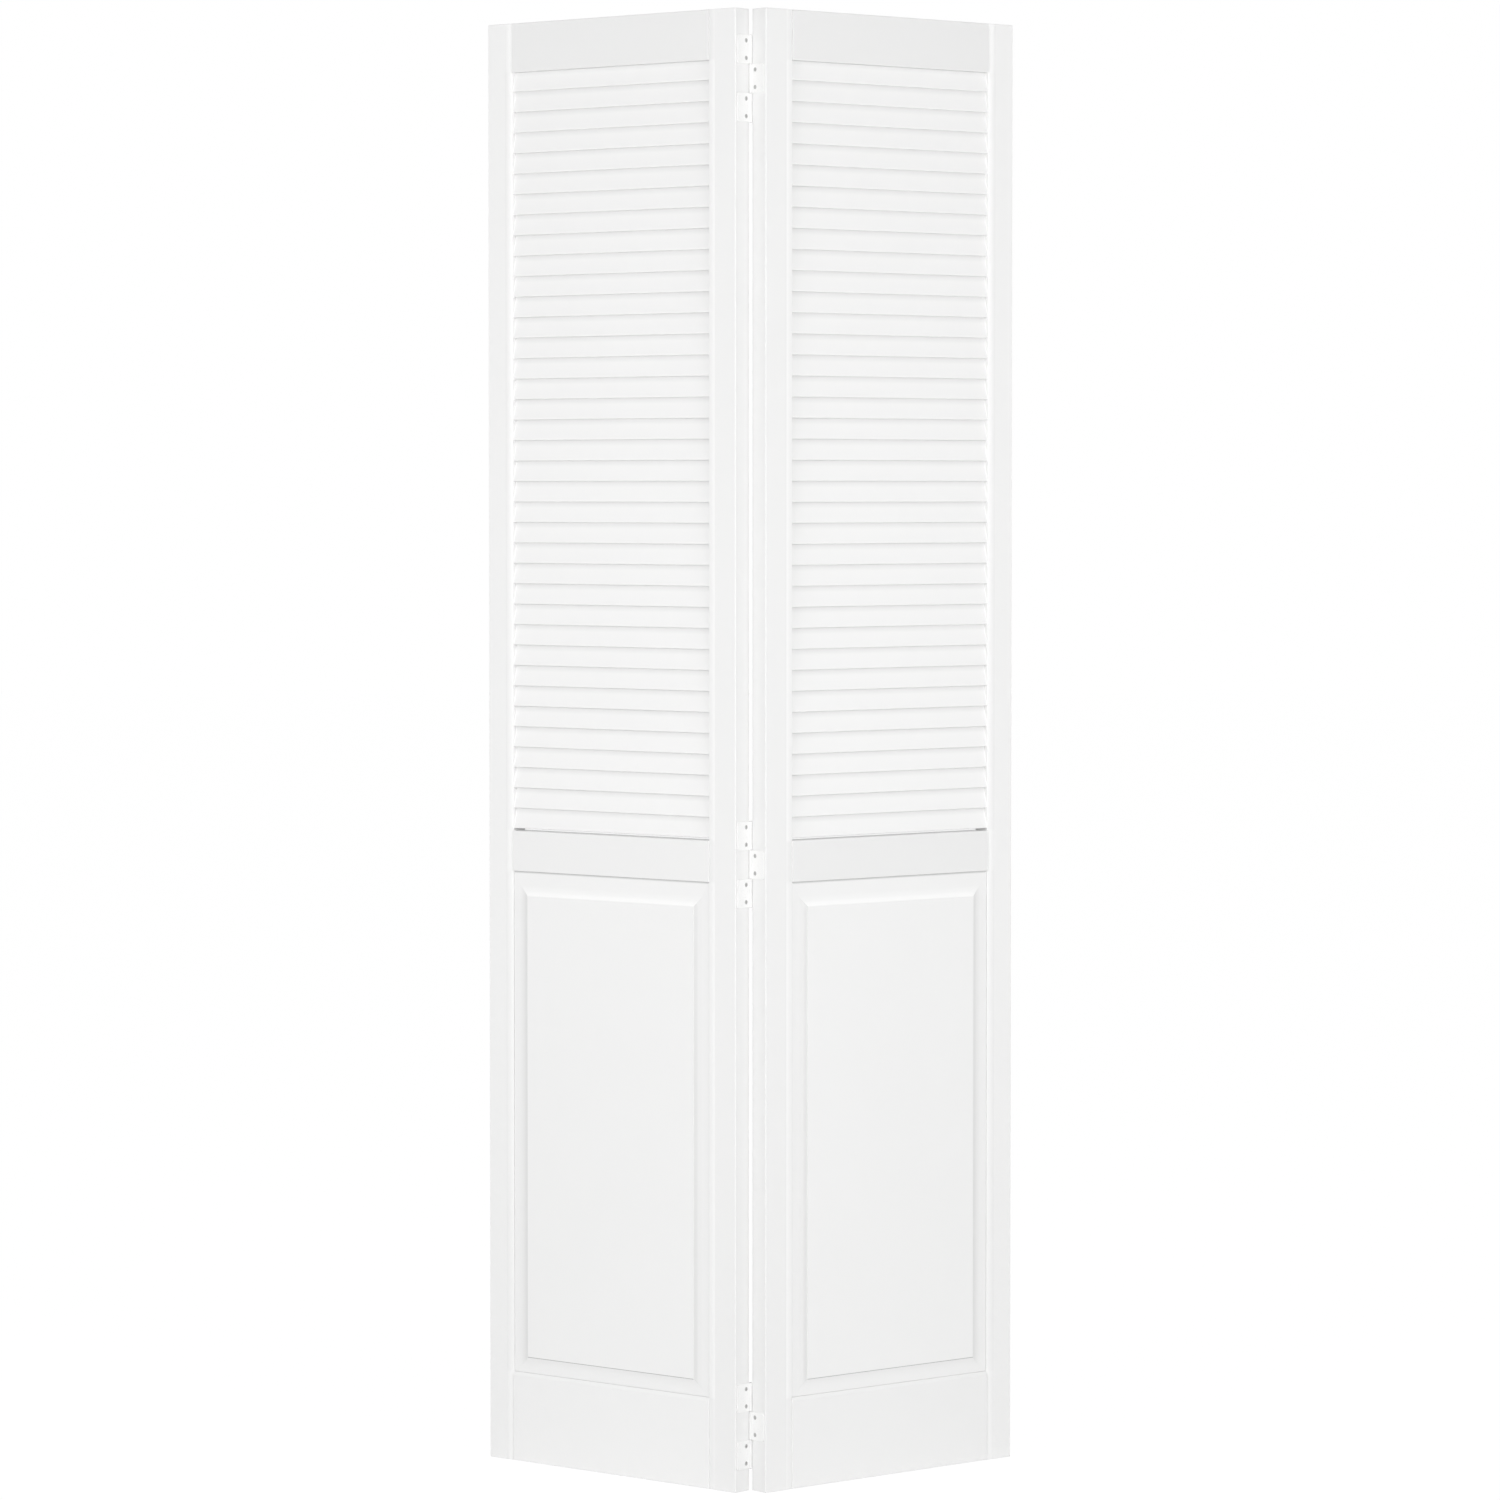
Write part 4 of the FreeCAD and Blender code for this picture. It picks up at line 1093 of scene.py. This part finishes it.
def circle(centre, radius, count):
    """count points: centre + radius*(cos a, sin a)."""
    angle = even_turn(count)
    return np.array(centre) + radius * np.stack([np.cos(angle), np.sin(angle)], axis=-1)


def turned(radius, height, angle):
    """For each row of the profile a ring of points: radius*cos a, radius*sin a and the height."""
    return np.stack(np.broadcast_arrays(radius * np.cos(angle), radius * np.sin(angle), height), axis=-1)


def filled(loops, starts):
    """Triangles over the first loop but not the others, whose points are numbered from the starts."""
    lines = [[Vector((a, b, 0)) for a, b in loop] for loop in loops]
    numbers = np.concatenate([start + np.arange(len(loop)) for start, loop in zip(starts, loops)])
    return [numbers[list(face)].tolist() for face in tessellate_polygon(lines)]


def strip_between(first, second, count):
    """Quads between two closed loops of count points, whose numbers start at first and second."""
    here = np.arange(count)
    after = np.roll(here, -1)
    return np.stack([first + here, first + after, second + after, second + here], axis=-1).tolist()


def closed_shell(points, faces):
    """A shell whose doubled points are merged and whose faces are all turned outwards."""
    mesh = bmesh.new()
    corners = [mesh.verts.new(point) for point in points]
    for face in faces:
        mesh.faces.new([corners[index] for index in face])
    bmesh.ops.remove_doubles(mesh, verts=mesh.verts, dist=MERGE_BELOW)
    bmesh.ops.recalc_face_normals(mesh, faces=mesh.faces)
    mesh.verts.index_update()
    shell = Shell([vert.co[:] for vert in mesh.verts],
                  [[vert.index for vert in face.verts] for face in mesh.faces])
    mesh.free()
    return shell


disc = filled([circle((0, 0), 2, 8), circle((0, 0), 1, 8)], [0, 8])
print("a disc with a hole, eight points on each circle:", len(disc), "triangles")

# %% [markdown]
# A hinge tab is stamped from steel strip: a flat plate with two rounded corners, drilled and
# countersunk for two screws, whose other end is rolled round the pin. The plate is two flat
# faces with a rim of rings between them. A flat outline with Solidify and Bevel modifiers would
# come close, but the countersinks are cones from face to face.

# %% plate of a hinge tab
TAB_CORNER = 2.5 * MM
TAB_CORNER_STEPS = 6
TAB_EDGE = 0.25 * MM             # rounding of the stamped rim
TAB_THICKNESS = 1.4 * MM
PLATE_ROOT = -1.7 * MM           # the plate ends here, inside the wall of the roll
SCREW_PITCH = 23.6 * MM
SCREW_SETBACK = 7.5 * MM         # screw line from the leaf's back face
SCREW_HOLE_RADIUS = 1.8 * MM
HOLE_STEPS = 32
SEAT_RADIUS = 3.0 * MM
SEAT_LIP = 0.12 * MM
screw_across = BACK - SCREW_SETBACK
leaf_edge = stile_low[0]
tab_face = leaf_edge - TAB_THICKNESS


def plate_outline(tip, foot, head):
    """The plate's outline (across, height): square at the roll, with rounded corners at the tip."""
    r = TAB_CORNER
    return np.concatenate([
        bent((tip + r, foot), (PLATE_ROOT, foot), (PLATE_ROOT, head), (tip + r, head)),
        quarter((tip, head), r, 90, TAB_CORNER_STEPS),
        straight((tip, head - r), (tip, foot + r)),
        quarter((tip, foot), r, 180, TAB_CORNER_STEPS),
    ])


def plate_shell(tip, foot, head):
    """Two flat faces with screw holes, a rounded rim, and countersinks from face to face."""
    outline = plate_outline(tip, foot, head)
    small = shrink(outline, TAB_EDGE)
    walls = [[(small, tab_face), (outline, tab_face + TAB_EDGE),
              (outline, leaf_edge - TAB_EDGE), (small, leaf_edge)]]
    for turn in (-1, 1):
        centre = (screw_across, (foot + head) / 2 + turn * SCREW_PITCH / 2)
        seat = ((SEAT_RADIUS + SEAT_LIP, tab_face), (SEAT_RADIUS, tab_face + SEAT_LIP),
                (SCREW_HOLE_RADIUS, leaf_edge))
        walls.append([(circle(centre, radius, HOLE_STEPS), along) for radius, along in seat])
    points, faces, starts = [], [], []
    for wall in walls:
        size = len(wall[0][0])
        first = sum(len(loop) for loop in points)
        starts.append([first + size * row for row in range(len(wall))])
        points += [set_at(loop, 0, along)[0] for loop, along in wall]
        for start in starts[-1][:-1]:
            faces += strip_between(start, start + size, size)
    for end in (0, -1):
        faces += filled([wall[end][0] for wall in walls], [rows[end] for rows in starts])
    return closed_shell(np.concatenate(points), faces)


print("plate: %.1f mm thick, holes %.1f mm apart" % (TAB_THICKNESS / MM, SCREW_PITCH / MM))

# %% [markdown]
# The strip's end is rolled round the pin. The roll is a closed profile turned right round, with
# a fine seam where the end comes back. A modifier could bend a flat strip into the true spiral,
# but only its seam can be seen. Plate and roll together are one tab.

# %% hinge tabs
KNUCKLE_RADIUS = 2.4 * MM
PIN_BORE_RADIUS = 1.05 * MM
ROLL_EASE = 0.25 * MM
ROLL_STEPS = 46
SEAM_TURN = -52.0                # degrees round the roll to its seam
SEAM_ANGLES = (-4.0, -1.5, 0.0, 1.5, 4.0)    # of the seam's points, from its middle
SEAM_DEPTHS = np.array([0.0, 0.21, 0.3, 0.21, 0.0]) * MM


def roll_shell(foot, head):
    """The rolled knuckle: a closed profile (radius, height) turned round, with a seam groove."""
    profile = np.array([
        (PIN_BORE_RADIUS, foot), (KNUCKLE_RADIUS - ROLL_EASE, foot), (KNUCKLE_RADIUS, foot + ROLL_EASE),
        (KNUCKLE_RADIUS, head - ROLL_EASE), (KNUCKLE_RADIUS - ROLL_EASE, head), (PIN_BORE_RADIUS, head),
    ])
    radius, height = profile[:, :1], profile[:, 1:]
    rest = np.linspace(SEAM_ANGLES[-1], 360 + SEAM_ANGLES[0], ROLL_STEPS)[1:-1]
    angle = np.radians(SEAM_TURN + np.concatenate([SEAM_ANGLES, rest]))
    depth = np.concatenate([SEAM_DEPTHS, np.zeros(len(rest))])
    outer = radius > PIN_BORE_RADIUS + ROLL_EASE
    return loft(turned(radius - depth * outer, height, angle), wrap=True)


def make_tab(hinge, place, side):
    """A plate and its roll in one piece, from the foot to the head of the node."""
    node = "%s_hinge_%s_tab" % (hinge, place)
    low, high = leaf_box(node, side)
    foot, head = low[2], high[2]
    shell = merge([plate_shell(low[1], foot, head), roll_shell(foot, head)])
    add_piece(node, side, shell, [white_enamel])


HINGES = ("top", "middle", "bottom")
for hinge in HINGES:
    for place, side in (("upper", -1), ("middle", 1), ("lower", -1)):
        make_tab(hinge, place, side)
report("tabs")

# %% [markdown]
# The pin is turned steel, headed at both ends after it is put in. A head is slightly domed. A
# cylinder with two flat ones on it would do from afar, but one turned profile gives domes,
# collars and shank as a single closed body.

# %% hinge pins
PIN_RADIUS = 1.0 * MM
PIN_HEAD_HEIGHT = 0.9 * MM
PIN_DOME = 0.54 * MM
DOME_ROUND = 0.96                # 1 would bring the dome's rim down upright
DOME_SHARES = np.array([0.06, 0.3, 0.55, 0.75, 0.9, 1.0])
PIN_STEPS = 32


def pin_shell(foot, head, head_radius):
    """A profile (radius, height) turned round: dome, collar, shank, collar, dome.

    At a share s of the head's radius the dome has fallen by dome*(1 - sqrt(1 - round*s^2)).
    """
    fall = PIN_DOME * (1 - np.sqrt(1 - DOME_ROUND * DOME_SHARES**2))
    low = np.stack([DOME_SHARES * head_radius, foot + fall], axis=-1)
    high = np.stack([DOME_SHARES * head_radius, head - fall], axis=-1)[::-1]
    shank = np.array([
        (head_radius, foot + PIN_HEAD_HEIGHT), (PIN_RADIUS, foot + PIN_HEAD_HEIGHT),
        (PIN_RADIUS, head - PIN_HEAD_HEIGHT), (head_radius, head - PIN_HEAD_HEIGHT),
    ])
    profile = np.concatenate([low, shank, high])
    return loft(turned(profile[:, :1], profile[:, 1:], even_turn(PIN_STEPS)))


for hinge in HINGES:
    node = hinge + "_hinge_pin"
    low, high = leaf_box(node, -1)
    add_piece(node, -1, pin_shell(low[2], high[2], (high[1] - low[1]) / 2), [pin_zinc])
report("pins")

# %% [markdown]
# Countersunk wood screws hold the tabs. The head lies flush in its seat and has a cross recess
# with sloping walls. Behind it the shank carries a thread: the radius follows a triangle wave
# of the height in turns plus the angle, so the crest winds round once for each pitch. A Screw
# modifier would wind a real helix, but its start and end would have to be closed by hand.

# %% one hinge screw
HEAD_RADIUS = 2.95 * MM
HEAD_EASE = 0.15 * MM
HEAD_RIM = 0.12 * MM
COUNTERSINK = math.radians(82)
SHANK_RADIUS = 1.75 * MM
THREAD_START = 1.2 * MM          # behind the head's cone
THREAD_DEPTH = 0.45 * MM
THREAD_PITCH = 1.6 * MM
THREAD_ROWS = 8                  # rings of points to a pitch
SCREW_LENGTH = 19.0 * MM
SCREW_POINT = 4.0 * MM
SCREW_END = 0.2 * MM             # the last ring lies before this
POINT_SHARE = 0.04               # how thin the point gets
SCREW_STEPS = 24
RECESS_ARM = 1.7 * MM
RECESS_SLOT = 0.45 * MM
RECESS_DEPTH = 1.3 * MM
RECESS_BED = 0.45                # the arms' length at the bottom, as a share of that at the top


def cross_outline(scale):
    """Twelve corners of a cross, anticlockwise, whose slots narrow half as fast as its arms."""
    arm, slot = RECESS_ARM * scale, RECESS_SLOT * (1 + scale) / 2
    quarter_cross = np.array([(arm, slot), (slot, slot), (slot, arm)])
    turns = [np.array([[math.cos(a), -math.sin(a)], [math.sin(a), math.cos(a)]]) for a in even_turn(4)]
    return np.concatenate([quarter_cross @ turn.T for turn in turns])


def screw_shell():
    """Head, recess, cone and threaded shank, pointing away from the pins, its head at along 0."""
    cone = (HEAD_RADIUS - SHANK_RADIUS) / math.tan(COUNTERSINK / 2)
    angle = even_turn(SCREW_STEPS)
    depth = np.arange(cone + THREAD_START, SCREW_LENGTH - SCREW_END, THREAD_PITCH / THREAD_ROWS)
    turns = depth[:, None] / THREAD_PITCH + angle / (2 * np.pi)
    crest = 2 * np.abs(turns % 1 - 0.5)
    taper = np.clip((SCREW_LENGTH - depth) / SCREW_POINT, POINT_SHARE, 1)[:, None]
    threaded = (SHANK_RADIUS - THREAD_DEPTH * crest) * taper
    plain = np.array([(HEAD_RADIUS - HEAD_EASE, 0), (HEAD_RADIUS, HEAD_RIM), (SHANK_RADIUS, cone)])
    radius = np.concatenate([np.repeat(plain[:, :1], SCREW_STEPS, axis=1), threaded])
    along = np.concatenate([plain[:, 1], depth])[:, None]
    shank = loft(turned(radius, along, angle)[..., [2, 0, 1]], first_cap=False)
    mouth, bed = cross_outline(1.0), cross_outline(RECESS_BED)
    start, count = len(shank.points), len(mouth)
    faces = shank.faces + filled([shank.points[:SCREW_STEPS, 1:], mouth], [0, start])
    faces += strip_between(start, start + count, count)
    faces.append(list(range(start + count, start + 2 * count)))
    points = [shank.points, *set_at(mouth, 0, 0.0), *set_at(bed, 0, RECESS_DEPTH)]
    return closed_shell(np.concatenate(points), faces)


one_screw = screw_shell()
print("one screw:", len(one_screw.points), "points")

# %% [markdown]
# Each tab has two screws, and those that hold one hinge to one leaf are a single piece. The
# same shell is set at every hole, so that they are alike, as bought screws are. Linked objects
# would share one mesh, but a piece has to hold its own points.

# %% hinge screws
def make_screws(hinge, leaf, tabs):
    """The same screw in both holes of each tab, half a pitch below and above its middle."""
    side = SIDES[leaf]
    shells = []
    for place in tabs:
        low, high = leaf_box("%s_hinge_%s_tab" % (hinge, place), side)
        for turn in (-1, 1):
            height = (low[2] + high[2]) / 2 + turn * SCREW_PITCH / 2
            spot = np.array([tab_face, screw_across, height])
            shells.append(Shell(one_screw.points + spot, one_screw.faces))
    add_piece("%s_hinge_%s_screws" % (hinge, leaf), side, merge(shells), [screw_zinc])


for hinge in HINGES:
    make_screws(hinge, "left", ("upper", "lower"))
    make_screws(hinge, "right", ("middle",))
report("screws")

# %% [markdown]
# The dowels are hidden in their joints. They could be drawn again with fine chamfers, but they
# already have their shape and nobody sees more, so they stay as built and only get bare pine.

# %% dowels
for leaf in SIDES:
    for rail in RAIL_OUTLINES:
        dowels = frame["nodes"]["%s_%s_dowels" % (leaf, rail)]
        dowels.data.materials.clear()
        dowels.data.materials.append(bare_pine)
print("dowels:", len(SIDES) * len(RAIL_OUTLINES), "nodes keep their meshes")

# %% [markdown]
# Last, the size of the finished door is printed.

# %% sizes and finish
low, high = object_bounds()
print("door: %.1f x %.1f x %.1f mm" % tuple((high - low) / MM))
